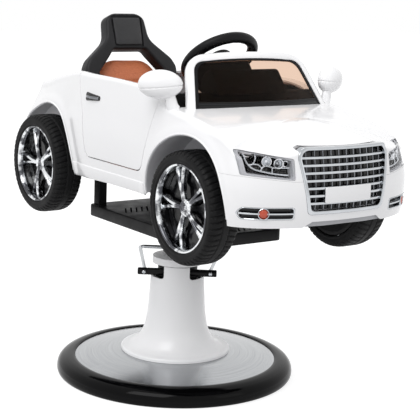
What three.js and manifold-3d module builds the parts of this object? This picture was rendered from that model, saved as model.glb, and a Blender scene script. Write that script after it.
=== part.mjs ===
// Children's salon chair: a ride-on car body carried by a hydraulic pedestal.
// Millimetres, +Z up. The origin is on the floor under the column's axis, and the
// car's front faces -Y, so its right-hand side is -X.
import * as THREE from 'three';
import { mergeVertices } from 'three/addons/utils/BufferGeometryUtils.js';
import Module from 'manifold-3d';

const wasm = await Module();
wasm.setup();

// ------------------------------------------------------------------ driving dimensions
// Clearances
const SEAT_GAP = 0.3;            // between pieces that rest on or sit in each other
const DOOR_FRONT_GAP = 0.7;      // shut line at the door's hinge edge
const DOOR_SHUT_GAP = 2.6;       // shut line under and behind the door

// Pedestal
const BASE_RING_R = 300;         // outer radius of the floor ring
const BASE_RING_H = 43;          // height of the floor ring
const BASE_RING_FOOT_INSET = 3;  // the ring's foot is this much smaller than its bulge
const BASE_RING_BULGE = [
  [BASE_RING_R, 12], [BASE_RING_R - 2, 24], [BASE_RING_R - 10, 34], [BASE_RING_R - 24, 40],
];
const BASE_RING_LIP = 8;
const BASE_RING_W = 46;          // rubber that shows round the dome
const DOME_EDGE_R = BASE_RING_R - BASE_RING_W;   // steel dome that shows inside the ring
const DOME_EDGE_Z = 40;
const DOME_TOP_Z = 57;
const DOME_SHEET = 3;
const DOME_HOLE_R = 80;
const BASE_PLATE_T = 12;
const FOOT_R = 70;
const FOOT_T = 14;
const FOOT_BOLTS = 4;
const FOOT_BOLT_CIRCLE_R = 57;
const FOOT_BOLT_R = 7;
const FOOT_BOLT_HEAD = 6;
const PUMP_R = 42;
const PUMP_FLOOR_GAP = 2;        // oil space round the ram
const PUMP_HEAD_R = 50;
const PUMP_HEAD_CHAMFER = 6;
const PUMP_HEAD_Z = 232;
const PUMP_HEAD_TOP_Z = 281;
const COVER_FLANGE_R = 138;
const COVER_FLANGE_T = 10;
const COVER_TOP_R = 66;
const COVER_TOP_Z = 282;
const COVER_WALL = 4;
const COVER_EDGE = 2.5;
const COVER_FLARE_Z = 100;       // the trumpet's mouth opens out below this height
const COVER_MOUTH_R = 114;
const COVER_TONGUE_HALF = 32;    // half width of the tongues between the side notches
const COVER_NOTCH_Z = 249;
const COVER_NOTCH_CORNER = 9;
const COLLAR_R = 64;
const COLLAR_TOP_Z = 300;
const COLLAR_BORE_R = 24;
const COLLAR_EDGE = 2;
const RAM_R = 20;
const RAM_FOOT_Z = 60;

// Pump lever. It is turned about the column, square to the photograph's view.
const LEVER_TURN = -36 * Math.PI / 180;
const LEVER_Z = 263;
const LEVER_BAR_HALF = 99;
const LEVER_BAR_SIZE = 18;
const LEVER_RAM_GAP = 3;
const HOOP_ROD_R = 5;
const HOOP_ARM_HALF = 83;
const HOOP_CORNER_HALF = 106;
const HOOP_REACH = 180;
const HOOP_RISE = 15;
const HOOP_BEND = 16;
const HOOP_SCREW_R = 5;
const HOOP_SCREW_HEAD = 3;
const HOOP_STEPS = 22;
const HOOP_SIDES = 4;            // chords in each half of the rod's section
const HOOP_TENSION = 0.25;
const HOOP_SCREW_SIDES = 10;

// Turntable and step board
const PLATFORM_Z = 374;
const PLATFORM_T = 30;
const PLATFORM_HALF_X = 132.5;
const PLATFORM_HALF_Y = 234;
const PLATFORM_Y = -12;
const PLATFORM_CORNER = 14;
const SLOT_COUNT = 12;
const SLOT_PITCH = 15;
const SLOT_WIDTH = 5;
const SLOT_LENGTH = 62;
const SLOT_SLANT = 20;           // how far a slot leans sideways over its length
const SLOT_ROW_Y = 118;          // rows before and behind the board's centre
const SLOT_DEPTH = 4;
const SWIVEL_R = 60;
const SWIVEL_T = 12;
const SWIVEL_HUB_R = 32;
const SWIVEL_HUB_H = 34;
const RAM_TOP_Z = PLATFORM_Z - SWIVEL_T - 2 * SEAT_GAP;
const POST_SIZE = 25;
const POST_WALL = 2;
const POST_X = 112;
const POST_Y = 212;              // from the board's centre

// Wheels
const FRONT_AXLE_Y = -364;
const REAR_AXLE_Y = 302;
const AXLE_Z = 504;
const AXLE_R = 6;
const WHEEL_FACE_X = 251;        // outer face of the tyres
const TYRE_R = 125.6;
const TYRE_WIDTH = 76;
const TYRE_BEAD = 6;
const TYRE_SHOULDER = 11;
const RIM_R = 97.4;
const RIM_LIP = 9;
const RIM_INSET = 2;             // the rim's face lies this far inside the tyre's
const RIM_WIDTH = 64;
const RIM_WALL = 5;
const HUB_R = 20;
const SPOKE_COUNT = 5;
const SPOKE_ROOT = 30;
const SPOKE_TIP = 22;
const SPOKE_DEPTH = 14;
const SPOKE_FACE_INSET = 9;      // spokes and hub lie behind the rim's face
const SPOKE_DISH = 4;            // and go back this far towards the rim
const SPOKE_PHASE = 0.25;
const HUB_CAP = 14;             // metal left over the axle's end
const AXLE_END_INSET = 18;

// Car body: plan outline at the waist
const NOSE_Y = -627;
const NOSE_LENGTH = 112;         // half ellipse from the nose back to the flanks
const FRONT_HALF = 243;
const REAR_HALF = 217;
const WAIST_FROM_Y = 40;         // the flank draws in between these two stations
const WAIST_TO_Y = 250;
const TAIL_Y = 474;
const TAIL_LENGTH = 86;
const TAIL_SQUARENESS = 3;
const SHELL_WALL = 5;
const SPINE_FRONT_Y = -440;      // ends of the bonnet's and boot's centre line
const SPINE_REAR_Y = 372;

// Car body: heights and draws round the outline. Each pair is [station, value]; the
// station runs 0..1 round half of the nose, 1..2 along the flank, 2..3 round the tail.
const FLANK_Y0 = NOSE_Y + NOSE_LENGTH;
const FLANK_Y1 = TAIL_Y - TAIL_LENGTH;
const atY = (y) => 1 + (y - FLANK_Y0) / (FLANK_Y1 - FLANK_Y0);
const EDGE_HEIGHT = [
  [0, 662], [0.28, 658], [0.42, 648], [0.85, 646], [1, 659], [atY(-477), 676], [atY(-409), 691],
  [atY(-338), 704], [atY(-273), 712], [atY(-222), 733], [atY(-200), 743], [atY(-150), 751],
  [atY(0), 755], [atY(130), 755], [atY(230), 743], [atY(300), 731], [2, 714], [2.4, 706], [3, 706],
];
const FOOT_HEIGHT = [
  [0, 506], [0.4, 502], [1, 496], [atY(-410), 497], [atY(-200), 509], [atY(60), 512],
  [atY(160), 508], [2, 502], [3, 506],
];
const WAIST_HEIGHT = [[0, 560], [1, 575], [atY(-200), 620], [atY(60), 620], [2, 575], [3, 575]];
const SHOULDER_DRAW = [[0, 12], [1, 12], [atY(-200), 10], [atY(120), 12], [atY(300), 26], [2, 38], [3, 38]];
const SHOULDER_ROUND = [[0, 10], [1, 12], [atY(-409), 18], [atY(-200), 9], [atY(120), 12], [2, 24], [3, 24]];
const FOOT_DRAW = [[0, 6], [1, 6], [atY(-200), 12], [atY(60), 12], [2, 6], [3, 6]];
// Heights of the centre line, as [y, z]
const CENTRE_HEIGHT = [
  [-480, 693], [-440, 699], [-316, 715], [-200, 722], [282, 741], [335, 733], [SPINE_REAR_Y, 724],
];

// Openings in the body
const FRONT_ARCH_R = 160;
const REAR_ARCH_R = 157;
const ARCH_LINER_T = 3;
const LINER_INNER_X = 163;
const LINER_GAP = 0.6;
const LINER_LIP = 2;
const COCKPIT_HALF = 205;
const COCKPIT_FRONT_Y = -284;
const COCKPIT_REAR_Y = 308;
const COCKPIT_REAR_HALF = 152;
const COCKPIT_TAPER_Y = 208;
const COCKPIT_CORNER = 45;
const WAIST_CUT_Z = 640;
const DOOR_FOOT_Z = 556;
const DOOR_FRONT_FOOT_Y = -190;
const DOOR_REAR_FOOT_Y = 62;
const DOOR_REAR_Y = 78;
const DOOR_REAR_TOP_Y = 126;
const DOOR_REAR_TOP_Z = 748;
const DOOR_HINGE_Y = -244;
const DOOR_KNEE_Y = -224;
const DOOR_KNEE_Z = 657;
const DOOR_TOP_FRONT_Z = 719;
const DOOR_CORNER = 22;
const DOOR_INNER_X = 190;
const BUMPER_SEAM_Z = 602;
const BUMPER_SEAM_GAP = 0.4;
const LAMP_SEAM_DROP = 3;
const REAR_BUMPER_Z = 606;

// Front face
const GRILLE_TOP_HALF = 106;
const GRILLE_WIDE_HALF = 116;
const GRILLE_FOOT_HALF = 94;
const GRILLE_TOP_Z = 655;
const GRILLE_WIDE_Z = 642;
const GRILLE_FOOT_Z = 530;
const GRILLE_FRAME = 7;
const GRILLE_FOOT_CORNER = 10;
const GRILLE_TOP_CORNER = 8;
const GRILLE_PROUD = 3;
const GRILLE_BARS = 7;
const GRILLE_BAR_H = 7.6;
const GRILLE_POSTS = 5;
const GRILLE_POST_W = 3;
const GRILLE_DEPTH = 12;
const PLATE_HALF = 62;
const PLATE_FOOT_Z = 546;
const PLATE_TOP_Z = 579;
const PLATE_T = 3;
const LAMP_INNER_X = 130;
const LAMP_OUTER_X = 228;
const LAMP_TOP_INNER_Z = 638;
const LAMP_TOP_OUTER_Z = 654;
const LAMP_FOOT_INNER_Z = 595;
const LAMP_FOOT_OUTER_Z = 605;
const LAMP_CORNER = 5;
const LAMP_DEPTH = 20;
const LAMP_REAR_Y = -515;
const FOG_INNER_X = 130;
const FOG_OUTER_X = 234;
const FOG_Z = 527;
const FOG_HALF_H = 13;
const FOG_CORNER = 6;
const FOG_TRIM_PROUD = 1;
const FOG_DEPTH = 10;
const FOG_REAR_Y = -545;
const FOG_LAMP_PROUD = 4;
const FOG_LAMP_X = 191;
const FOG_LAMP_R = 12;
const TAIL_LAMP_INNER_X = 92;
const TAIL_LAMP_OUTER_X = 196;
const TAIL_LAMP_FOOT_Z = 632;
const TAIL_LAMP_TOP_Z = 672;
const TAIL_LAMP_CORNER = 6;
const TAIL_LAMP_DEPTH = 14;
const TAIL_LAMP_FRONT_Y = 404;

// Windscreen, as half widths, depths and heights of the pane's foot and head
const SCREEN_FOOT_HALF = 179;
const SCREEN_FOOT_Y = -306;
const SCREEN_FOOT_Z = 716;
const SCREEN_FOOT_BOW = 30;
const SCREEN_HEAD_HALF = 141;
const SCREEN_HEAD_Y = -253;
const SCREEN_HEAD_Z = 808;
const SCREEN_HEAD_BOW = 12;
const SCREEN_HEAD_RISE = 8;
const SCREEN_FRAME = 16;
const SCREEN_FRAME_T = 16;
const SCREEN_PANE_T = 5;
const SCREEN_PANE_INSET = 3;
const SCREEN_SUNK = -0.3;        // where the panels start, below the foot, to meet the body
const SCREEN_STEPS = 8;

// Mirrors
const MIRROR_X = 242;
const MIRROR_Y = -265;
const MIRROR_Z = 761;
const MIRROR_HALF_W = 49;
const MIRROR_HALF_D = 28;
const MIRROR_HALF_H = 32;
const MIRROR_TURN = 30 * Math.PI / 180;
const MIRROR_RINGS = 8;
const MIRROR_STEM_SIDES = 8;
const MIRROR_STEM_R = 11;
const MIRROR_STEM_X = 222;
const MIRROR_STEM_Y = -279;

// Cabin
const FLOOR_Z = 512;
const FLOOR_T = 6;
const FLOOR_FRONT_Y = -538;
const FLOOR_REAR_Y = 430;
const LUG_T = 8;
const LUG_X = 146;
const LUG_HALF_Y = 16;
const LUG_DROP = 22;
const DASH_REAR_Y = -208;
const DASH_FOOT_Z = 664;
const DASH_TOP_Y = -240;
const DASH_TOP_Z = 738;
const DASH_BROW_Z = 732;
const DASH_FRONT_Z = 712;
const DASH_CORNER = 8;
const WHEEL_CENTRE_Y = -146;
const WHEEL_CENTRE_Z = 805;
const WHEEL_RING_R = 83;
const WHEEL_GRIP_R = 13;
const WHEEL_GRIP_SIDES = 7;
const WHEEL_TILT = 40 * Math.PI / 180;
const WHEEL_HUB_R = 30;
const WHEEL_HUB_T = 22;
const WHEEL_SPOKE_W = 26;
const WHEEL_SPOKE_T = 8;
const COLUMN_R = 17;
const COLUMN_LENGTH = 78;
const SEAT_PAN_Z = 556;
const SEAT_PAN_EDGE = 8;
const SEAT_HALF = 132;
const SEAT_FRONT_Y = -6;
const SEAT_REAR_Y = 205;
const CUSHION_T = 48;
const CUSHION_CORNER = 26;
const CUSHION_CROWN = 12;
const CUSHION_DRAW = 5;          // how far a cushion's sides pull in between its corners
const PAD_STEP = 48;
const SEAT_BASE_REAR_Y = 166;
const BACK_FOOT_Z = 572;
const BACK_SIDE_GAP = 0.5;
const BACK_CORNER = 14;
const BACK_T = 40;
const BACK_LEAN = 19 * Math.PI / 180;
const BACK_FOOT_Y = 194;         // front face of the backrest at its foot
const HEADREST_T = 40;
const HEADREST_PROUD = 20;       // in front of the backrest's face
const HEADREST_TOP_Z = 890;
const HEADREST_TOP_HALF = 54;
const HEADREST_TOP_SLOPE = 12;   // the top corners fall away over this width
const HEADREST_NECK_HALF = 67;
const HEADREST_NECK_Z = HEADREST_TOP_Z - 68;
const HEADREST_ARM_HALF = 137;
const HEADREST_ARM_Z = HEADREST_TOP_Z - 114;
const HEADREST_ARM_DROP = 20;    // from the shoulder down to the arms' full width
const HEADREST_ARM_W = 37;
const HEADREST_LEG_Z = HEADREST_TOP_Z - 148;     // the arms turn inwards above this height
const HEADREST_KNEE_HALF = 62;
const HEADREST_KNEE_Z = HEADREST_TOP_Z - 107;    // level with the backrest's head
const HEADREST_HOLE_HALF = 49;
const HEADREST_HOLE_Z = HEADREST_TOP_Z - 91;
const HEADREST_PAD_HALF = 44;
const HEADREST_PAD_FOOT_Z = HEADREST_TOP_Z - 84;
const HEADREST_PAD_TOP_Z = HEADREST_TOP_Z - 13;
const HEADREST_PAD_CORNER = 7;
const HEADREST_PAD_T = 8;
const HEADREST_PAD_PROUD = 4;

// Door handles
const HANDLE_Y = 32;
const HANDLE_Z = 702;
const HANDLE_LENGTH = 68;
const HANDLE_H = 22;
const HANDLE_PROUD = 9;

// ------------------------------------------------------------------ helpers
const WELD = 1e-3;
const HEX = 6;
const ROUND_SMALL = 12;          // sides of small, medium and large round pieces
const ROUND_MEDIUM = 24;
const ROUND_WHEEL = 28;
const ROUND_ARCH = 28;
const ROUND_LARGE = 32;
const ROUND_BASE = 40;
const REACH = TAIL_Y - NOSE_Y;   // the car's length: a cutter this long passes through it

// Hermite curve through [station, value] pairs with level-limited slopes.
function along(pairs, t) {
  const last = pairs.length - 1;
  if (t <= pairs[0][0]) return pairs[0][1];
  if (t >= pairs[last][0]) return pairs[last][1];
  const i = pairs.findIndex((pair) => pair[0] > t) - 1;
  const rise = (k) => (pairs[k + 1][1] - pairs[k][1]) / (pairs[k + 1][0] - pairs[k][0]);
  const slope = (k) => {
    if (k === 0 || k === last) return 0;
    const before = rise(k - 1);
    const after = rise(k);
    return before * after <= 0 ? 0 : 2 * before * after / (before + after);
  };
  const width = pairs[i + 1][0] - pairs[i][0];
  const s = (t - pairs[i][0]) / width;
  const a = pairs[i][1];
  const b = pairs[i + 1][1];
  const ease = s * s * (3 - 2 * s);
  const m0 = slope(i) * width * s * (1 - s) * (1 - s);
  const m1 = slope(i + 1) * width * s * s * (s - 1);
  return a + (b - a) * ease + m0 + m1;
}

// A closed mesh from corner positions and triangles, turned so that its faces point out.
function solidOf(positions, triangles) {
  const raw = new THREE.BufferGeometry();
  raw.setAttribute('position', new THREE.Float32BufferAttribute(positions, 3));
  if (triangles) raw.setIndex(triangles);
  const welded = mergeVertices(raw, WELD);
  const index = welded.index.array;
  const corner = welded.attributes.position.array;
  const kept = [];
  let volume = 0;
  for (let i = 0; i < index.length; i += 3) {
    const [a, b, c] = [index[i], index[i + 1], index[i + 2]];
    if (a === b || b === c || c === a) continue;
    kept.push(a, b, c);
    const p = new THREE.Vector3().fromArray(corner, 3 * a);
    const q = new THREE.Vector3().fromArray(corner, 3 * b);
    const r = new THREE.Vector3().fromArray(corner, 3 * c);
    volume += p.dot(q.cross(r));
  }
  if (volume < 0) kept.reverse();
  return new wasm.Manifold(new wasm.Mesh({
    numProp: 3,
    vertProperties: new Float32Array(corner),
    triVerts: new Uint32Array(kept),
  }));
}

function toSolid(geometry) {
  return solidOf(geometry.attributes.position.array, geometry.index ? [...geometry.index.array] : null);
}

function toGeometry(solid) {
  const mesh = solid.getMesh();
  const geometry = new THREE.BufferGeometry();
  geometry.setAttribute('position', new THREE.BufferAttribute(mesh.vertProperties, 3));
  geometry.setIndex(new THREE.BufferAttribute(mesh.triVerts, 1));
  geometry.computeVertexNormals();
  return geometry;
}

const union = (parts) => parts.reduce((whole, part) => whole.add(part));
const mirrorX = (solid) => solid.mirror([1, 0, 0]);

// Solid of revolution about Z from [radius, height] pairs.
function lathe(profile, segments) {
  const points = profile.map(([r, z]) => new THREE.Vector2(r, z));
  return toSolid(new THREE.LatheGeometry(points, segments).rotateX(Math.PI / 2));
}

function rod(radius, z0, z1, segments) {
  return lathe([[0, z0], [radius, z0], [radius, z1], [0, z1]], segments);
}

// Corner radius of a round bore whose flats stand clear of a turning shaft.
const boreFor = (radius, segments) => (radius + SEAT_GAP) / Math.cos(Math.PI / segments);

function ring(outer, inner, z0, z1, segments) {
  return lathe([[inner, z0], [outer, z0], [outer, z1], [inner, z1], [inner, z0]], segments);
}

// A rod along X, from x0 to x1, at [y, z].
function rodX(radius, x0, x1, y, z, segments) {
  const geometry = new THREE.CylinderGeometry(radius, radius, x1 - x0, segments);
  geometry.rotateZ(Math.PI / 2).translate((x0 + x1) / 2, y, z);
  return toSolid(geometry);
}

function box(x0, x1, y0, y1, z0, z1) {
  const geometry = new THREE.BoxGeometry(x1 - x0, y1 - y0, z1 - z0);
  return toSolid(geometry.translate((x0 + x1) / 2, (y0 + y1) / 2, (z0 + z1) / 2));
}

// Outline with each corner eased by its own radius: [u, v] or [u, v, radius].
function outline(corners) {
  const shape = new THREE.Shape();
  const count = corners.length;
  const point = (k) => new THREE.Vector2(corners[(k + count) % count][0], corners[(k + count) % count][1]);
  const towards = (k, other, radius) => {
    const start = point(k);
    return start.lerp(point(other), radius / start.distanceTo(point(other)));
  };
  corners.forEach((corner, k) => {
    const radius = corner[2] ?? 0;
    const start = radius ? towards(k, k - 1, radius) : point(k);
    if (k === 0) shape.moveTo(start.x, start.y);
    else shape.lineTo(start.x, start.y);
    if (!radius) return;
    const end = towards(k, k + 1, radius);
    shape.quadraticCurveTo(corner[0], corner[1], end.x, end.y);
  });
  return shape;
}

const withOtherHalf = (half) => [...half, ...half.slice().reverse().map(([x, y, r]) => [-x, y, r])];

// Prisms of an outline: seen along X as [y, z], along Y as [x, z], or along Z as [x, y].
const CURVE_STEPS = 3;
function prism(corners, depth) {
  const options = { depth, bevelEnabled: false, curveSegments: CURVE_STEPS };
  return new THREE.ExtrudeGeometry(outline(corners), options);
}
function prismX(corners, x0, x1) {
  const turn = new THREE.Matrix4().makeBasis(
    new THREE.Vector3(0, 1, 0), new THREE.Vector3(0, 0, 1), new THREE.Vector3(1, 0, 0));
  return toSolid(prism(corners, x1 - x0).applyMatrix4(turn).translate(x0, 0, 0));
}
function prismY(corners, y0, y1) {
  return toSolid(prism(corners, y1 - y0).rotateX(Math.PI / 2).translate(0, y1, 0));
}
function prismZ(corners, z0, z1) {
  return toSolid(prism(corners, z1 - z0).translate(0, 0, z0));
}

// Closed skin over a grid of points whose rows run round and whose ends close to a line.
// The quads of the second half are split the other way, so a mirrored ring stays mirrored.
function gridSolid(rows) {
  const width = rows[0].length;
  const positions = rows.flat(2);
  const triangles = [];
  for (let i = 0; i < rows.length - 1; i += 1) {
    for (let j = 0; j < width; j += 1) {
      const a = i * width + j;
      const b = i * width + (j + 1) % width;
      if (2 * j < width) triangles.push(a, b, b + width, a, b + width, a + width);
      else triangles.push(a, b, a + width, b, b + width, a + width);
    }
  }
  return solidOf(positions, triangles);
}

// ------------------------------------------------------------------ body surface
// Outline of the waist at a station: half a nose ellipse, a flank, half a squared tail.
function planPoint(station) {
  if (station <= 1) {
    const turn = station * Math.PI / 2;
    return [FRONT_HALF * Math.sin(turn), FLANK_Y0 - NOSE_LENGTH * Math.cos(turn)];
  }
  if (station <= 2) {
    const y = FLANK_Y0 + (station - 1) * (FLANK_Y1 - FLANK_Y0);
    const s = THREE.MathUtils.smoothstep(y, WAIST_FROM_Y, WAIST_TO_Y);
    return [FRONT_HALF + (REAR_HALF - FRONT_HALF) * s, y];
  }
  const turn = (3 - station) * Math.PI / 2;
  const power = 2 / TAIL_SQUARENESS;
  return [REAR_HALF * Math.sin(turn) ** power, FLANK_Y1 + TAIL_LENGTH * Math.cos(turn) ** power];
}

function planNormal(station) {
  const step = 0.004;
  const [x0, y0] = planPoint(Math.max(0, station - step));
  const [x1, y1] = planPoint(Math.min(3, station + step));
  const length = Math.hypot(x1 - x0, y1 - y0);
  return [(y1 - y0) / length, (x0 - x1) / length];
}

// A rib of the skin at a station, from the foot up the side, over the shoulder and in
// to the centre line. inset moves the skin inwards, lower the open edge downwards.
const SIDE_STEPS = 4;
const ROUND_STEPS = 2;
const TOP_STEPS = 2;
function rib(station, inset, lower) {
  const [px, py] = planPoint(station);
  const [nx, ny] = planNormal(station);
  const edge = along(EDGE_HEIGHT, station) - inset;
  const foot = along(FOOT_HEIGHT, station);
  const waist = along(WAIST_HEIGHT, station);
  const draw = along(SHOULDER_DRAW, station);
  const round = along(SHOULDER_ROUND, station);
  const footDraw = along(FOOT_DRAW, station);
  const at = (depth, z) => [Math.max(0, px - nx * (depth + inset)), py - ny * (depth + inset), z];
  const side = (z) => (z > waist
    ? draw * ((z - waist) / (edge - round - waist)) ** 1.5
    : footDraw * ((waist - z) / (waist - foot)) ** 2);
  const spineY = THREE.MathUtils.clamp(py, SPINE_FRONT_Y, SPINE_REAR_Y);
  const spineZ = along(CENTRE_HEIGHT, spineY) - inset;
  const points = [[0, spineY, foot - lower], at(side(foot), foot - lower)];
  for (let i = 0; i <= SIDE_STEPS; i += 1) {
    const z = foot + (edge - round - foot) * i / SIDE_STEPS;
    points.push(at(side(z), z));
  }
  for (let i = 1; i <= ROUND_STEPS; i += 1) {
    const turn = i / ROUND_STEPS * Math.PI / 2;
    points.push(at(draw + round * (1 - Math.cos(turn)), edge - round * (1 - Math.sin(turn))));
  }
  const [ex, ey] = points[points.length - 1];
  for (let i = 1; i <= TOP_STEPS; i += 1) {
    const s = i / TOP_STEPS;
    points.push([ex * (1 - s), ey + (spineY - ey) * s, edge + (spineZ - edge) * Math.sin(s * Math.PI / 2)]);
  }
  return points;
}

const BELOW_FOOT = 100;           // how far an inner block is drawn down to open its foot
const NOSE_STEPS = 6;
const FLANK_STEPS = 12;
const TAIL_STEPS = 5;
function bodyBlock(inset, lower) {
  const stations = [];
  for (let i = 0; i <= NOSE_STEPS; i += 1) stations.push(i / NOSE_STEPS);
  for (let i = 1; i <= FLANK_STEPS; i += 1) stations.push(1 + i / FLANK_STEPS);
  for (let i = 1; i <= TAIL_STEPS; i += 1) stations.push(2 + i / TAIL_STEPS);
  const right = stations.map((station) => rib(station, inset, lower));
  const left = right.slice(1, -1).reverse().map((points) => points.map(([x, y, z]) => [-x, y, z]));
  const around = [...right, ...left];
  const levels = around[0].map((_, level) => around.map((points) => points[level]));
  return gridSolid(levels);
}

// ------------------------------------------------------------------ pedestal
function makeBaseRing() {
  const foot = BASE_RING_R - BASE_RING_FOOT_INSET;
  const inner = DOME_EDGE_R + SEAT_GAP;
  return lathe([
    [inner, 0], [foot, 0], ...BASE_RING_BULGE, [DOME_EDGE_R + BASE_RING_LIP, BASE_RING_H],
    [inner, BASE_RING_H - SEAT_GAP], [inner, 0],
  ], ROUND_BASE);
}

const DOME_CROWN = 0.35;
function domeHeight(radius) {
  const s = Math.min(1, (DOME_EDGE_R - radius) / (DOME_EDGE_R - COVER_FLANGE_R));
  return DOME_EDGE_Z + (DOME_TOP_Z - DOME_EDGE_Z) * s * (1 + DOME_CROWN * (1 - s));
}

function makeBaseDome() {
  const radii = [DOME_EDGE_R, (DOME_EDGE_R + COVER_FLANGE_R) / 2, COVER_FLANGE_R, DOME_HOLE_R];
  const top = radii.map((r) => [r, domeHeight(r)]);
  const under = radii.slice().reverse().map((r) => [r, domeHeight(r) - DOME_SHEET]);
  under[under.length - 1] = [DOME_EDGE_R - DOME_SHEET, DOME_EDGE_Z - DOME_SHEET];
  const skirtFoot = BASE_PLATE_T + SEAT_GAP;
  return lathe([
    [DOME_EDGE_R, skirtFoot], ...top, ...under, [DOME_EDGE_R - DOME_SHEET, skirtFoot],
    [DOME_EDGE_R, skirtFoot],
  ], ROUND_BASE);
}

function makeBasePlate() {
  return rod(DOME_EDGE_R, 0, BASE_PLATE_T, ROUND_BASE);
}

function makePumpFoot() {
  const z0 = BASE_PLATE_T + SEAT_GAP;
  const bolts = [];
  for (let i = 0; i < FOOT_BOLTS; i += 1) {
    const turn = (i + 0.5) / FOOT_BOLTS * 2 * Math.PI;
    const head = new THREE.CylinderGeometry(FOOT_BOLT_R, FOOT_BOLT_R, 2 * FOOT_BOLT_HEAD, HEX);
    head.rotateX(Math.PI / 2);
    head.translate(FOOT_BOLT_CIRCLE_R * Math.cos(turn), FOOT_BOLT_CIRCLE_R * Math.sin(turn), z0 + FOOT_T);
    bolts.push(toSolid(head));
  }
  const flange = ring(FOOT_R, PUMP_R + SEAT_GAP, z0, z0 + FOOT_T, ROUND_MEDIUM);
  return union([flange, ...bolts]);
}

function makePumpCylinder() {
  const z0 = BASE_PLATE_T + SEAT_GAP;
  const floor = RAM_FOOT_Z - PUMP_FLOOR_GAP;
  const top = PUMP_HEAD_Z - SEAT_GAP;
  const bore = RAM_R + PUMP_FLOOR_GAP;
  return lathe([[0, z0], [PUMP_R, z0], [PUMP_R, top], [bore, top], [bore, floor], [0, floor]], ROUND_MEDIUM);
}

// The lever's bar passes in front of the ram, inside the pump head.
const PUMP_BAR_OFFSET = RAM_R + LEVER_BAR_SIZE / 2 + LEVER_RAM_GAP;
function alongLever(solid) {
  return solid.rotate([0, 0, THREE.MathUtils.radToDeg(LEVER_TURN)]);
}

function makePumpHead() {
  const bore = RAM_R + SEAT_GAP;
  const body = lathe([
    [bore, PUMP_HEAD_Z], [PUMP_HEAD_R, PUMP_HEAD_Z], [PUMP_HEAD_R, PUMP_HEAD_TOP_Z - PUMP_HEAD_CHAMFER],
    [PUMP_HEAD_R - PUMP_HEAD_CHAMFER, PUMP_HEAD_TOP_Z], [bore, PUMP_HEAD_TOP_Z], [bore, PUMP_HEAD_Z],
  ], ROUND_MEDIUM);
  const halfBore = boreFor(LEVER_BAR_SIZE / 2, ROUND_SMALL);
  const tunnel = rodX(halfBore, -REACH, REACH, -PUMP_BAR_OFFSET, LEVER_Z, ROUND_SMALL);
  return body.subtract(alongLever(tunnel));
}

// Trumpet shape of the cover, as [height, radius]
const COVER_PROFILE = [
  [DOME_TOP_Z, COVER_FLANGE_R], [70, 113], [82, 98.5], [98, 87], [120, 78.5], [158, 72.5],
  [COVER_TOP_Z, COVER_TOP_R],
];

function makeColumnCover() {
  const foot = DOME_TOP_Z + SEAT_GAP;
  const lip = DOME_TOP_Z + COVER_FLANGE_T;
  const outside = COVER_PROFILE.slice(1).map(([z, r]) => [r, z]);
  const inside = COVER_PROFILE.filter((_, k) => k % 2 === 0 && k > 0).reverse()
    .map(([z, r]) => [r - COVER_WALL, z - (z < COVER_FLARE_Z ? COVER_WALL : 0)]);
  const cover = lathe([
    [COVER_FLANGE_R, foot], [COVER_FLANGE_R, lip - COVER_EDGE], [COVER_FLANGE_R - COVER_EDGE, lip],
    ...outside, ...inside, [COVER_MOUTH_R, foot], [COVER_FLANGE_R, foot],
  ], ROUND_LARGE);
  const above = COVER_TOP_Z + COVER_WALL;
  const notch = prismY([
    [COVER_TONGUE_HALF, above], [COVER_TONGUE_HALF, COVER_NOTCH_Z, COVER_NOTCH_CORNER],
    [REACH, COVER_NOTCH_Z], [REACH, above],
  ], -REACH, REACH);
  return cover.subtract(alongLever(notch.add(mirrorX(notch))));
}

// Cap on the column cover, round the ram
function makeCollarCover() {
  const foot = COVER_TOP_Z + SEAT_GAP;
  return lathe([
    [COLLAR_BORE_R, foot], [COLLAR_R, foot], [COLLAR_R, COLLAR_TOP_Z - COLLAR_EDGE],
    [COLLAR_R - COLLAR_EDGE, COLLAR_TOP_Z], [COLLAR_BORE_R, COLLAR_TOP_Z], [COLLAR_BORE_R, foot],
  ], ROUND_LARGE);
}

function makeRam() {
  return rod(RAM_R, RAM_FOOT_Z, RAM_TOP_Z, ROUND_MEDIUM);
}

// ------------------------------------------------------------------ pump lever
function makePedalShaft() {
  const half = LEVER_BAR_HALF;
  return alongLever(rodX(LEVER_BAR_SIZE / 2, -half, half, -PUMP_BAR_OFFSET, LEVER_Z, ROUND_SMALL));
}

function makePedalHoop() {
  const front = -PUMP_BAR_OFFSET + LEVER_BAR_SIZE / 2 + SEAT_GAP;
  const back = LEVER_Z + HOOP_RISE;
  const arm = [
    [HOOP_ARM_HALF, front, LEVER_Z], [HOOP_ARM_HALF, front + HOOP_BEND, LEVER_Z + 1],
    [HOOP_CORNER_HALF, HOOP_REACH - HOOP_BEND, back - 1], [HOOP_CORNER_HALF - HOOP_BEND, HOOP_REACH, back],
  ];
  const corners = [...arm, ...arm.slice().reverse().map(([x, y, z]) => [-x, y, z])];
  const points = corners.map(([x, y, z]) => new THREE.Vector3(x, y, z));
  const route = new THREE.CatmullRomCurve3(points, false, 'catmullrom', HOOP_TENSION);
  const section = new THREE.Shape().absarc(0, 0, HOOP_ROD_R, 0, 2 * Math.PI);
  const options = { steps: HOOP_STEPS, extrudePath: route, curveSegments: HOOP_SIDES };
  const rodSolid = toSolid(new THREE.ExtrudeGeometry(section, options));
  const face = box(-REACH, REACH, -REACH, front, 0, REACH);
  return alongLever(rodSolid.subtract(face));
}

function makeHoopScrew(side) {
  const face = -PUMP_BAR_OFFSET - LEVER_BAR_SIZE / 2 - SEAT_GAP;
  const head = new THREE.CylinderGeometry(HOOP_SCREW_R, HOOP_SCREW_R, HOOP_SCREW_HEAD, HOOP_SCREW_SIDES);
  head.translate(side * HOOP_ARM_HALF, face - HOOP_SCREW_HEAD / 2, LEVER_Z);
  return alongLever(toSolid(head));
}

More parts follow.
